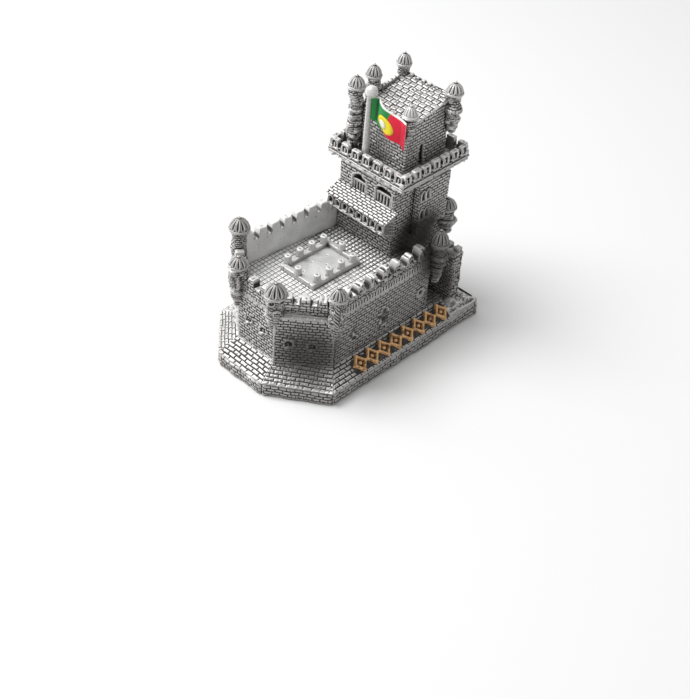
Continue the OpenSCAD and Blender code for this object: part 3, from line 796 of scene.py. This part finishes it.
def build_well():
    low, high = box("well_floor")
    past = 0.5
    size = high - low
    start = (low[0] - past, low[1] - past, high[2])
    grid = rectangle(start, (size[0] + 2 * past, 0, 0), (0, size[1] + 2 * past, 0))

    def relief(points):
        out = lumps(points, 0.6)
        for f, g in PITS:
            x, y = low[0] + f * size[0], low[1] + g * size[1]
            out = out - 0.5 * disc(points[..., 0], points[..., 1], x, y, 0.35, 0.3)
        return out

    piece("well_floor", [plate(grid, 0.6, relief)], PALE)
    for name, posts in (("front", 1), ("back", 1), ("right", 4), ("left", 4)):
        node = "well_curb_" + name
        curb_low, curb_high = box(node)
        top = curb_low[2] + CURB_H
        solids = [block(curb_low - (0, 0, 0.2), (curb_high[0], curb_high[1], top), round_r=0.4)]
        middle, run = (curb_low + curb_high) / 2, curb_high - curb_low
        for k in range(posts):
            x, y = middle[:2]
            f = (k + 0.5) / posts
            if run[0] > run[1]:
                x = curb_low[0] + f * run[0]
            else:
                y = curb_low[1] + f * run[1]
            solids.append(post(x, y, top - 0.2))
        piece(node, cast(node + "_melt", solids), PALE)


# ---- turrets and domes ----

RIBS = 11


def build_dome(node, widen=1.0, worn=False):
    """A ribbed dome with a small knob; gives its middle and its foot."""
    low, high = box(node)
    centre = (low + high) / 2
    r, foot, top = (high[0] - low[0]) / 2 * 0.96 * widen, low[2], high[2]
    rim_h, knob_h = 0.55, 0.55
    body_h = top - foot - rim_h - knob_h
    steps = np.linspace(0, 1, 24)
    profile = [(0, foot - 0.2), (r + 0.05, foot - 0.2), (r + 0.22, foot + 0.1), (r + 0.1, foot + rim_h)]
    profile += [(max(0.42, r * 0.97 * (1 - f**2.1) ** 0.62), foot + rim_h + f * body_h) for f in steps]
    profile += [(0.5, top - 0.4), (0.35, top - 0.1), (0, top)]
    turn = hash01(round(centre[0] * 10), round(centre[1] * 10)) * TAU
    depth = (0.3 if worn else 0.75) * r / 2.9

    def relief(angle, z, points):
        f = (z - foot - rim_h) / body_h
        wedge = np.abs(((angle + turn) * RIBS / TAU) % 1 - 0.5) * 2
        width = 0.18 + 0.5 * np.clip(4 * f * (1 - f), 0, 1)
        groove = smooth((wedge - 1 + width) / width) * band(f, 0, 0.93, 0.12) * smooth(f / 0.12)
        return lumps(points, 0.45) - depth * groove

    solid = lathe(centre, profile, relief, step=0.12)
    piece(node, [solid], PALE if worn else TURRET)
    return centre, foot


def ring_profile(foot, rim, r, rings, share, foot_r, bulge, belly=0.3):
    """Radius and height of a drum on ring corbels that widen upwards."""
    corbel = (rim - foot) * share
    each = corbel / rings
    profile = [(0, foot)]
    for k in range(rings):
        grown = foot_r + (r + bulge - foot_r) * (k + 1) / rings
        z = foot + k * each
        profile += [
            (grown - belly, z + 0.02 * each),
            (grown, z + 0.25 * each),
            (grown + 0.08, z + 0.5 * each),
            (grown - 0.02, z + 0.78 * each),
            (grown - belly, z + 0.98 * each),
        ]
    top = foot + corbel
    profile += [(r, top + 0.2), (r, rim - 1.0), (r + 0.4, rim - 0.65), (r + 0.5, rim - 0.25)]
    profile += [(r + 0.35, rim + 0.05), (0, rim + 0.05)]
    return profile


def build_turret(node, dome, r, rings, share, foot_r=0.8, bulge=0.0, extra=None, belly=0.3,
                 texture=0.2, rough=0.9):
    """The drum under a dome, on rings that take up that share of its height."""
    centre, rim = dome
    foot = box(node)[0][2]

    def relief(angle, z, points):
        out = masonry(angle * r, z, points, length=1.3, height=0.7, depth=texture, seed=50, worn=0.3)
        out = out + lumps(points, 0.5) + rough * (noise(points, 1.5, 55) - 0.5)
        if extra:
            out = out + extra(angle, z)
        return out

    profile = ring_profile(foot, rim, r, rings, share, foot_r, bulge, belly)
    piece(node, [lathe(centre, profile, relief, step=0.14)], TURRET)


def towards(angle, degrees):
    """Signed difference of an angle from a bearing, in radians."""
    return (angle - math.radians(degrees) + math.pi) % TAU - math.pi


# Each dome's width as a share of its CAD solid's
DOMES = {
    "dome_far_left": 1.17, "dome_prow_left": 1.08, "dome_prow_right": 1.25, "dome_near_right": 1.0,
    "dome_gate": 1.04, "dome_rear": 1.08, "keep_dome_a": 1.15, "keep_dome_b": 1.1,
    "keep_dome_c": 1.06, "keep_dome_d": 1.22,
}
DRUM_R, SLIM_R = 2.55, 2.05


def round_window(angle, z):
    """A small round hole over a knob."""
    hole = disc(towards(angle, 200) * DRUM_R, z, 0, 32.0, 0.8, 0.25)
    knob = disc(towards(angle, 235) * DRUM_R, z, 0, 28.6, 1.6, 0.8)
    return 0.6 * knob - 0.9 * hole


def rope(angle, z):
    """A twisted rope up the drum, beside a hole."""
    side = towards(angle, 215) * DRUM_R
    twist = 0.5 + 0.5 * np.sin(TAU * (z + side) / 1.3)
    strand = smooth((1.0 - np.abs(side)) / 0.4) * smooth(35.0 - z) * smooth((z - 25) / 2)
    hole = disc(towards(angle, 270) * DRUM_R, z, 0, 30.2, 0.7, 0.25)
    return 0.5 * strand * twist - 0.8 * hole


def build_turrets():
    domes = {name: build_dome(name, width) for name, width in DOMES.items()}
    domes["keep_dome_e"] = build_dome("keep_dome_e", worn=True)
    wide_r = DRUM_R + 0.45

    def turret(name, *sizes, **details):
        build_turret("turret_" + name, domes["dome_" + name], *sizes, **details)

    def keep_turret(letter, *sizes, **details):
        build_turret("keep_turret_" + letter, domes["keep_dome_" + letter], *sizes, **details)

    turret("far_left", DRUM_R, 4, 0.42, texture=0.25)
    turret("prow_left", wide_r, 4, 0.5, rough=1.6)
    turret("prow_right", wide_r, 3, 0.45, foot_r=1.3, extra=round_window, belly=0.5)
    turret("near_right", DRUM_R, 3, 0.45, extra=rope)
    turret("gate", DRUM_R, 5, 0.75, bulge=0.55, belly=0.95, rough=0.8)
    turret("rear", DRUM_R, 3, 0.62, foot_r=1.4, bulge=0.65, belly=0.9, rough=0.9)
    keep_turret("a", SLIM_R + 0.1, 8, 0.8, foot_r=1.9, bulge=0.2, rough=1.4)
    keep_turret("b", SLIM_R + 0.1, 8, 0.8, foot_r=1.9, bulge=0.2, rough=1.4)
    keep_turret("c", SLIM_R, 3, 0.75)
    keep_turret("d", SLIM_R, 3, 0.75, foot_r=1.1, bulge=0.7, belly=0.6, rough=1.8)
    keep_turret("e", SLIM_R, 3, 0.6)


# ---- tower ----

# Right edge, width, sill and height of each front window
FRONT_WINDOWS = ((1.9, 5.8, 45.2, 6.2), (-8.85, 6.6, 45.6, 6.4))
WINDOW_DEPTH = 3.6
# The sides of a box that face right and towards the prow
FACE_RIGHT, FACE_FRONT = 0, 3


def tower_relief(side, u, v, points):
    out = masonry(u, v, points, seed=60 + side)
    if side == FACE_FRONT:
        y, z = points[..., 1], points[..., 2]
        for right, width, sill, height in FRONT_WINDOWS:
            left, rim = right + width, 0.5
            sag = 1.2 * (np.abs(y - (right + left) / 2) / (width / 2)) ** 2
            head = sill + height - sag
            hole = inside(y, z, right, left, sill, 99, 0.2) * smooth((head - z) / 0.2)
            frame_line = inside(y, z, right - rim, left + rim, sill - rim, 99, 0.25)
            frame_line = frame_line * smooth((head + rim - z) / 0.25)
            out = out * (1 - hole) + 0.25 * frame_line - WINDOW_DEPTH * hole
    return out


def build_tower():
    low, high = TOWER_LOW, TOWER_HIGH
    ring = ring_of(low, high)
    solid = skin(ring3(ring, low[2] - 0.3), ring3(ring, high[2]), tower_relief, step=0.225)
    piece("tower_body", [solid], WALL)
    bars, bar_count = [], 5
    face = low[0]
    for right, width, sill, height in FRONT_WINDOWS:
        bar_top = sill + height * 0.54
        for k in range(bar_count):
            y = right + width * (k + 0.5) / bar_count
            foot, top = (face + 0.35, y - 0.3, sill - 0.1), (face + 0.95, y + 0.3, bar_top + 0.2)
            bars.append(block(foot, top, fine_side, step=0.1, round_r=0.25))
        foot = (face + 0.3, right - 0.1, bar_top)
        top = (face + 1.0, right + width + 0.1, bar_top + 0.6)
        bars.append(block(foot, top, fine_side, step=0.1, round_r=0.2))
    piece("window_grilles", bars, WALL)


def build_loggia():
    low, high = box("loggia_box")
    foot_drop = 2.6
    heights = (low[2] + foot_drop, low[2], low[2], low[2] + foot_drop)
    foot = [(x, y, z) for (x, y), z in zip(ring_of(low, high), heights)]
    arches = 8
    pitch = (high[1] - low[1]) / arches

    def relief(side, u, v, points):
        z = points[..., 2]
        if side != FACE_FRONT:
            return masonry(u, v, points, seed=70 + side, depth=0.16)
        out = lumps(points, 0.6)
        for k in range(arches):
            middle = (k + 0.5) * pitch
            rim = arch(u, z, middle, 39.9, 2.6, 3.1) - arch(u, z, middle, 40.1, 2.0, 2.65)
            out = out - 1.7 * arch(u, z, middle, 40.15, 1.95, 2.6) + 0.3 * rim
        out = out + 0.35 * band(z, 39.4, 39.95, 0.15) + 0.5 * (noise(points, 0.9, 76) - 0.5)
        return out - 0.35 * smooth((39.5 - z) / 0.3)

    solid = skin(foot, ring3(ring_of(low, high), high[2]), relief, step=0.13)
    piece("loggia_box", [solid], WALL)
    low, high = box("loggia_roof")
    eave_h = 0.5
    slope = np.array((high[0] - low[0] + 0.3, 0, high[2] - low[2] - eave_h))
    upwards = slope / math.hypot(slope[0], slope[2])
    grid = rectangle((low[0], low[1], low[2] + eave_h), slope, (0, high[1] - low[1], 0), 0.14)

    def tiles(points):
        v = (points - grid[0, 0]) @ upwards
        return 0.42 * (courses(points[..., 1], v, 2.15, 0.95, joint=0.24, seed=75) - 1) + lumps(points, 0.6)

    normal = (-upwards[2], 0, upwards[0])
    piece("loggia_roof", [plate(grid, eave_h, tiles, normal)], ROOF)


# Where the bay's paired windows stand: distances along its face, and sills
BAY_MIDDLES = (1.7, 3.9)
BAY_SILLS = (39.3, 46.0)


def bay_relief(side, u, v, points):
    out = masonry(u, v, points, seed=80 + side)
    if side != FACE_RIGHT:
        return out
    z = points[..., 2]
    for sill in BAY_SILLS:
        for middle in BAY_MIDDLES:
            rim = arch(u, z, middle, sill - 0.4, 2.5, 4.3) - arch(u, z, middle, sill, 1.8, 3.6)
            out = out * (1 - rim) + 0.4 * rim - 1.1 * arch(u, z, middle, sill, 1.8, 3.5, 0.15)
    return out


def build_bay():
    low, high = box("side_bay")
    piece("side_bay", [block(low, high, bay_relief, step=0.14)], WALL)
    low, high = box("bay_corbel")
    r = high[2] - low[2]
    x = np.linspace(low[0], high[0], round((high[0] - low[0]) / STEP))[:, None]
    phi = np.linspace(0, math.pi / 2, 24)
    curve = [high[1] - r * np.cos(phi), high[2] - r * np.sin(phi)]
    face = np.stack(np.broadcast_arrays(x, *curve), -1)
    out = masonry(face[..., 0], phi * r * np.ones_like(face[..., 0]), face, seed=84)
    face[..., 1] -= np.cos(phi) * out
    face[..., 2] -= np.sin(phi) * out
    back = np.stack(np.broadcast_arrays(x, high[1:2], high[2:3]), -1)
    piece("bay_corbel", [stack(np.concatenate([face, back], axis=1))], WALL)


# ---- gallery ----

MERLONS = 7
GALLERY_T = 1.6
GALLERY_FLOOR = box("gallery_slab")[1][2]


def gallery_face(centres):
    """The outside of a gallery parapet: an arched recess in each merlon, and pits between."""

    def relief(u, z, points):
        v = z - GALLERY_FLOOR
        out = lumps(points, 0.7)
        for centre in centres:
            out = out - 1.0 * arch(u, v, centre, 1.3, 2.2, 2.6, 0.25)
            out = out + 0.75 * arch(u, v, centre - 0.15, 1.3, 0.95, 1.9, 0.3)
            out = out - 0.6 * disc(u, v, centre + 2.2, 1.3, 0.6, 0.3)
        return out + 0.35 * band(v, -0.5, 0.45, 0.2)

    return relief


def build_gallery():
    low, high = box("gallery_slab")
    moulding = 1.1

    def relief(side, u, v, points):
        z = points[..., 2] - low[2]
        out = lumps(points, 0.7) - moulding * (1 - smooth((z - 0.55) / 0.4)) + 0.3 * band(z, 0.8, 1.5, 0.2)
        out = out + 0.5 * (noise(points, 0.9, 91) - 0.5)
        return out - 0.5 * smooth((noise(points, 1.3, 92) - 0.62) / 0.1)

    def paving(points):
        return 0.2 * (courses(points[..., 0], points[..., 1], 1.6, 1.6, seed=90) - 1) + lumps(points, 0.6)

    rim = 0.5
    x_run, y_run, _ = high - low - 2 * rim
    start = (low[0] + rim, low[1] + rim, GALLERY_FLOOR)
    floor_grid = rectangle(start, (x_run, 0, 0), (0, y_run, 0), 0.22)
    solids = [block(low, high, relief), plate(floor_grid, 0.3, paving)]
    piece("gallery_slab", solids, WALL)
    front_right, back_right, back_left, front_left = ring_of(low, high)
    sides = {
        "front": (front_left, front_right),
        "back": (back_right, back_left),
        "right": (front_right, back_right),
        "left": (back_left, front_left),
    }
    for name, (a, b) in sides.items():
        centres = (np.arange(MERLONS) + 0.5) * math.dist(a, b) / MERLONS
        top = battlement(GALLERY_FLOOR + 2.0, centres, 3.1, 2.4, soft=0.15, seed=len(name))
        wall = slab(a, b, GALLERY_T, GALLERY_FLOOR, top, gallery_face(centres), plain, step=0.13, lip=0.2)
        piece("gallery_parapet_" + name, [wall], WALL)


# ---- keep ----


def roof_edge(node, at_front):
    """Height of a node's top at its front or back end."""
    points = cad_points(node)
    x = points[:, 0].min() if at_front else points[:, 0].max()
    return points[np.abs(points[:, 0] - x) < 0.05][:, 2].max()


DOOR_X, DOOR_W, DOOR_H = 23.4, 2.4, 8.0
# Small holes under the roof, as x and height
ROOF_HOLES = ((20.6, 70.0), (24.5, 71.6), (28.5, 72.6), (32.5, 73.4))


def keep_tiles(points):
    sway = 0.3 * noise(points, 4, 2)
    out = 0.5 * (courses(points[..., 1], points[..., 0] + sway, 2.4, 1.9, 0.34, seed=110) - 1)
    spot = hash01(np.floor(points[..., 0] / 2.2), np.floor(points[..., 1] / 1.75), 3) > 0.8
    return out - 0.25 * spot * noise(points, 0.8, 4) + lumps(points)


def build_keep():
    low, high = box("keep_body")
    ring = ring_of(low, high)
    front, back = roof_edge("keep_body", True), roof_edge("keep_body", False)
    head = [(x, y, front if x == low[0] else back) for x, y in ring]
    foot = low[2]

    def relief(side, u, v, points):
        out = masonry(u, v, points, seed=100 + side)
        x, z = points[..., 0], points[..., 2]
        if side == FACE_RIGHT:
            out = out - 1.2 * inside(x, z, DOOR_X, DOOR_X + DOOR_W, foot - 1, foot + DOOR_H, 0.25)
            for hole_x, hole_z in ROOF_HOLES:
                out = out - 0.5 * disc(x, z, hole_x, hole_z, 0.5, 0.3)
        return out

    piece("keep_body", [skin(ring3(ring, foot), head, relief)], WALL)
    low, high = box("keep_roof")
    front, back = roof_edge("keep_roof", True), roof_edge("keep_roof", False)
    run, rise = high[0] - low[0], back - front
    grid = rectangle((low[0], low[1], front), (run, 0, rise), (0, high[1] - low[1], 0), 0.15)
    normal = np.array((-rise, 0, run)) / math.hypot(rise, run)
    piece("keep_roof", [plate(grid, 0.8, keep_tiles, normal)], ROOF)
    for node, bumps, falls in (("roof_parapet_left", 5, rise / run), ("roof_parapet_back", 4, 0)):
        low, high = box(node)
        front_right, back_right, back_left, front_left = ring_of(low, high)
        a, b = (back_left, front_left) if falls else (back_right, back_left)
        length = math.dist(a, b)
        base = high[2] - 0.9
        bumpy = battlement(0, (np.arange(bumps) + 0.5) * length / bumps, 1.5, 0.8, 0.4, seed=bumps)

        def top(u, falls=falls, base=base, bumpy=bumpy):
            return base - falls * u + bumpy(u)

        wall = slab(a, b, 1.2, low[2] - 0.3, top, plain, plain, step=0.13, lip=0.2)
        piece(node, [wall], WALL)


# ---- flag ----

GREEN, RED = (0.0, 0.26, 0.045), (0.8, 0.006, 0.045)
YELLOW, CREAM = (0.85, 0.72, 0.02), (0.85, 0.85, 0.83)
FOLD_SHADE, EARTH = (0.015, 0.02, 0.012), (0.1, 0.06, 0.03)


def flag_paint():
    """The hand-painted enamel stored in the flag's points, streaked, with painted shade darkening its folds.
    """
    material, add = node_tools("flag_paint")
    streaks = cloud(add, add("TexCoord").outputs["Object"], 1 / 0.9, 3.0)
    colour = mix_colour(add, spread(add, streaks, 0.5, 0.8, 0, 0.2), stored(add, "enamel", "Color"), EARTH)
    # Painted shade in the flag's folds
    colour = mix_colour(add, spread(add, stored(add, "hollow"), 0.52, 0.8, 0, 0.75), colour, FOLD_SHADE)
    surface(add, {"Base Color": colour, "Roughness": 0.35, "Normal": bump(add, streaks, 0.2, 0.1),
                  "Specular IOR Level": 0.35})
    return material


FLAG_PAINT = flag_paint()


def blend(a, b, share):
    return np.array(a) * (1 - share[..., None]) + np.array(b) * share[..., None]


def build_pole():
    low, high = box("flagpole")
    foot_r, top = (high[0] - low[0]) / 2, high[2] + 0.3
    profile = [(0, low[2]), (foot_r, low[2]), (foot_r * 0.67, top), (0, top)]
    pole = lathe((low + high) / 2, profile, lambda angle, z, points: lumps(points, 0.35))
    piece("flagpole", [pole], POLE)
    low, high = box("pole_ball")
    r = (high[0] - low[0]) / 2
    z = high[2] - r
    arc = [(r * math.cos(t), z + r * math.sin(t)) for t in np.linspace(-1.2, math.pi / 2, 30)]
    profile = [(0, arc[0][1])] + arc
    ball = lathe((low + high) / 2, profile, lambda angle, z, points: lumps(points, 0.7))
    piece("pole_ball", [ball], POLE)


def build_flag():
    pole_low, pole_high = box("flagpole")
    low, high = box("flag")
    length, drop, half_t = high[1] - low[1], 2.9, 0.5
    height = high[2] - low[2] - drop
    x_mid, hoist, top = (pole_low[0] + pole_high[0]) / 2 + 0.2, high[1] + 0.4, high[2]
    # Shares of the way from hoist to fly, and from the upper to the lower edge
    f, v = np.meshgrid(np.linspace(0, 1, 110), np.linspace(0, 1, 64), indexing="ij")
    from_disc = np.hypot((f - 0.47) * length, (v - 0.6) * height * 1.2)
    from_boss = np.hypot((f - 0.42) * length, (v - 0.62) * height)

    def face(side):
        fold = np.sin(np.radians(560 * f)) * (0.35 + 0.65 * f)
        fold = fold + 0.3 * np.sin(TAU * (2.2 * f + 0.35 * v)) + 0.9 * np.exp(-(((f - 0.13) / 0.06) ** 2))
        edge = np.minimum(np.minimum(f * length, (1 - f) * length), np.minimum(v, 1 - v) * height)
        thick = half_t * np.sqrt(np.clip(1 - (1 - np.clip(edge / half_t, 0, 1)) ** 2, 0.04, 1))
        raised = 0.35 * smooth((3.1 - from_disc) / 0.5) + 0.35 * smooth((1.4 - from_boss) / 0.5)
        x = x_mid + fold + side * (thick + raised * (side < 0))
        y = hoist - (length + 0.4) * f
        z = top - drop * (1 - np.cos(math.pi * f)) / 2 - height * v * (0.88 + 0.16 * f)
        return np.stack([x, y, z], -1)

    rear = blend(GREEN, RED, smooth((f - 0.57 + 0.18 * v) / 0.03))
    rear = blend(rear, CREAM, smooth((0.045 - v) / 0.03))
    front = blend(rear, YELLOW, smooth((3.15 - from_disc) / 0.3))
    front = blend(front, CREAM, smooth((1.45 - from_boss) / 0.5))
    mesh = new_mesh("flag_sheet", [stack(np.concatenate([face(-1), face(1)[:, ::-1]], axis=1))])
    colours = np.concatenate([front, rear[:, ::-1]], axis=1).reshape(-1, 3)
    colours = np.concatenate([colours, colours[:1], colours[-1:]])
    colours = np.concatenate([colours, np.ones((len(colours), 1))], 1)
    layer = mesh.attributes.new("enamel", "FLOAT_COLOR", "POINT")
    layer.data.foreach_set("color", colours.astype(np.float32).ravel())
    piece("flag", mesh, FLAG_PAINT)


# ---- gate and landing ----


def build_gate():
    low, high = box("gate_wall")
    merlons, merlon_h = 3, 0.9
    top = high[2] - merlon_h

    def relief(side, u, v, points):
        return masonry(u, v, points, seed=120 + side) + 1.0 * (noise(points, 1.6, 121) - 0.5)

    solids = [block(low, (high[0], high[1], top), relief)]
    for k in range(merlons):
        y = low[1] + (high[1] - low[1]) * (k + 0.5) / merlons
        merlon = (high[0] - 2.2, y - 1.1, top - 0.3), (high[0] + 0.1, y + 1.1, high[2] + 0.2)
        solids.append(block(*merlon))
    piece("gate_wall", solids, WALL)


def build_landing():
    low, high = box("rear_landing")
    under = 1.5
    start = (low[0] - under, low[1], high[2])
    grid = rectangle(start, (high[0] - low[0] + under, 0, 0), (0, high[1] - low[1], 0), 0.2)

    def ground(points):
        x, y = points[..., 0], points[..., 1]
        edge = np.minimum(high[0] - x, np.minimum(y - low[1], high[1] - y))
        rough = 2.0 * (fractal(points, 6, 130) - 0.5) + lumps(points, 1.5)
        return rough - 1.0 * (1 - smooth(edge / 3)) ** 2

    piece("rear_landing", [plate(grid, high[2] - low[2] + 1.0, ground)], FOOT)
    low, high = box("landing_rock")
    r, height, foot = (high[0] - low[0]) / 2, high[2] - low[2], low[2]
    arc = [(r * math.cos(t), foot + height * math.sin(t)) for t in np.linspace(0, math.pi / 2, 20)]
    profile = [(0, foot - 0.8), (r, foot - 0.8)] + arc
    rock = lathe((low + high) / 2, profile, lambda angle, z, points: 1.3 * (fractal(points, 2.2, 131) - 0.5))
    piece("landing_rock", [rock], FOOT)


# ---- ornament ----


def two_tone(name, light, dark, metal, rough):
    """Paint worn through to a darker tone in its grooves and in patches."""
    material, add = node_tools(name)
    patches = cloud(add, add("TexCoord").outputs["Object"], 1 / 0.7, 4.0)
    in_groove = spread(add, stored(add, "groove"), 0.5, 0.72)
    worn = math_node(add, "ADD", in_groove, spread(add, patches, 0.48, 0.68, 0, 0.9), clamp=True)
    surface(add, {"Base Color": mix_colour(add, worn, light, dark), "Metallic": metal,
                  "Roughness": rough, "Normal": bump(add, patches, 0.4, 0.12)})
    return material


BRONZE = two_tone("bronze_paint", (0.8, 0.47, 0.21), (0.14, 0.07, 0.035), 0.25, 0.4)
DARK_GROUND = two_tone("dark_paint", (0.022, 0.02, 0.019), (0.075, 0.07, 0.066), 0.0, 0.6)

LOZENGES = 8
# How far the dark ground runs past its CAD plate on each side
GROUND_PAST = 0.6
# Half the length and half the height of a lozenge, and the width of its bars
LOZENGE_A, LOZENGE_B, BAR_W = 2.15, 2.35, 1.0


def build_ornament():
    points = cad_points("ornament_ground")
    lower, upper = points[points[:, 1].argmin()], points[points[:, 2].argmax()]
    start = np.array((points[:, 0].min(), lower[1], lower[2]))
    length = np.ptp(points[:, 0])
    slope = np.array((0, upper[1] - lower[1], upper[2] - lower[2]))
    width = np.linalg.norm(slope)
    normal = np.array((0, -slope[2] / width, slope[1] / width))

    def ground(p):
        s, t = p[..., 0] - start[0], (p - start) @ (slope / width)
        edge = np.minimum(np.minimum(s, length - s), np.minimum(t, width - t))
        edge = edge + GROUND_PAST - 0.8 * noise(p, 1.3, 140)
        return -0.9 * (1 - smooth(edge / 0.6)) + lumps(p, 1.2)

    past_s, past_t = np.array((GROUND_PAST, 0, 0)), slope / width * GROUND_PAST
    run = (length + 2 * GROUND_PAST, 0, 0)
    grid = rectangle(start - past_s - past_t, run, slope + 2 * past_t, 0.14)
    piece("ornament_ground", [plate(grid, 1.0, ground, normal)], DARK_GROUND)

    def on_strip(s, t, h):
        """The point s along the strip, t up its slope and h above it."""
        return start + np.array((s, 0, 0)) + slope * (t / width) + normal * h

    def bar(p, q):
        """A bar from p to q, narrower at its top."""
        along = (np.array(q) - p) / math.dist(p, q)
        across = np.array((-along[1], along[0])) * BAR_W / 2
        ends = p - along * BAR_W / 2, q + along * BAR_W / 2
        section = ((-1, -0.4), (1, -0.4), (0.6, 0.95), (-0.6, 0.95))
        return stack(np.array([[on_strip(*(end + w * across), h) for w, h in section] for end in ends]))

    def boss(s, t):
        """A small round boss, narrower at its top."""
        turn = np.linspace(0, TAU, 17)[:-1]
        rings = ((0.62, -0.4), (0.62, 0.6), (0.35, 0.9))
        circle = [(math.cos(a), math.sin(a)) for a in turn]
        return stack(np.array([[on_strip(s + r * x, t + r * y, h) for x, y in circle] for r, h in rings]))

    solids = []
    for k in range(LOZENGES):
        s, t = (k + 0.5) * length / LOZENGES, width / 2
        tips = [(s - LOZENGE_A, t), (s, t - LOZENGE_B), (s + LOZENGE_A, t), (s, t + LOZENGE_B)]
        solids += [bar(tips[i], tips[(i + 1) % 4]) for i in range(4)]
        solids.append(boss(s, t))
    piece("ornament_relief", cast("ornament_melt", solids, 0.1, 3), BRONZE)


build_plinth()
build_glacis()
build_bastion()
build_terrace()
build_parapets()
build_well()
build_turrets()
build_tower()
build_loggia()
build_bay()
build_gallery()
build_keep()
build_pole()
build_flag()
build_gate()
build_landing()
build_ornament()

# ---- camera, light and floor ----


def build_stage():
    half = 3.0
    floor_mesh = bpy.data.meshes.new("floor")
    edge = [(-half, -half, 0), (half, -half, 0), (half, half, 0), (-half, half, 0)]
    floor_mesh.from_pydata(edge, [], [(0, 1, 2, 3)])
    material, add = node_tools("floor_paint")
    surface(add, {"Base Color": (0.84, 0.84, 0.84, 1), "Roughness": 0.8})
    floor_mesh.materials.append(material)
    shown("floor", floor_mesh)


def build_camera():
    """The photograph's view: from the front right, 41 degrees above the horizon."""
    aim = Vector((-10.4, -14.2, 5.0)) * MM
    azimuth, elevation, roll = math.radians(41.84), math.radians(40.78), math.radians(4.22)
    distance = 410.7 * MM
    level = math.cos(elevation)
    forward = Vector((math.cos(azimuth) * level, math.sin(azimuth) * level, -math.sin(elevation)))
    data = bpy.data.cameras.new("camera")
    data.sensor_fit = "VERTICAL"
    data.sensor_height = 36
    data.lens = 67.05
    camera = shown("camera", data)
    camera.location = aim - forward * distance
    camera.rotation_mode = "QUATERNION"
    camera.rotation_quaternion = Quaternion(forward, -roll) @ forward.to_track_quat("-Z", "Y")
    bpy.context.scene.camera = camera


def area_light(name, direction, distance, size, power):
    data = bpy.data.lights.new(name, "AREA")
    data.size = size
    data.energy = power
    light = shown(name, data)
    way = Vector(direction).normalized()
    light.location = Vector((0, 0, 0.03)) + way * distance
    light.rotation_mode = "QUATERNION"
    light.rotation_quaternion = (-way).to_track_quat("-Z", "Y")


KEY_FROM = (-0.5, 0.75, 1.5)


def build_light():
    """A large soft key and a weak fill, in a room that is brighter towards the key."""
    world = bpy.data.worlds.new("studio")
    bpy.context.scene.world = world
    world.use_nodes = True
    tree = world.node_tree
    way = tree.nodes.new("ShaderNodeTexCoord").outputs["Generated"]
    facing = tree.nodes.new("ShaderNodeVectorMath")
    facing.operation = "DOT_PRODUCT"
    facing.inputs[1].default_value = Vector(KEY_FROM).normalized()
    tree.links.new(way, facing.inputs[0])
    strength = tree.nodes.new("ShaderNodeMapRange")
    for key, value in (("From Min", -0.7), ("From Max", 0.9), ("To Min", 0.04), ("To Max", 0.75)):
        strength.inputs[key].default_value = value
    tree.links.new(facing.outputs["Value"], strength.inputs["Value"])
    background = tree.nodes["Background"]
    background.inputs["Color"].default_value = (1, 1, 1, 1)
    tree.links.new(strength.outputs["Result"], background.inputs["Strength"])
    area_light("key", KEY_FROM, 0.7, 0.4, 4.4)
    area_light("fill", (0.5, -1.0, 0.9), 0.9, 0.6, 0.15)


build_stage()
build_camera()
build_light()
bpy.context.scene.view_settings.view_transform = "Standard"
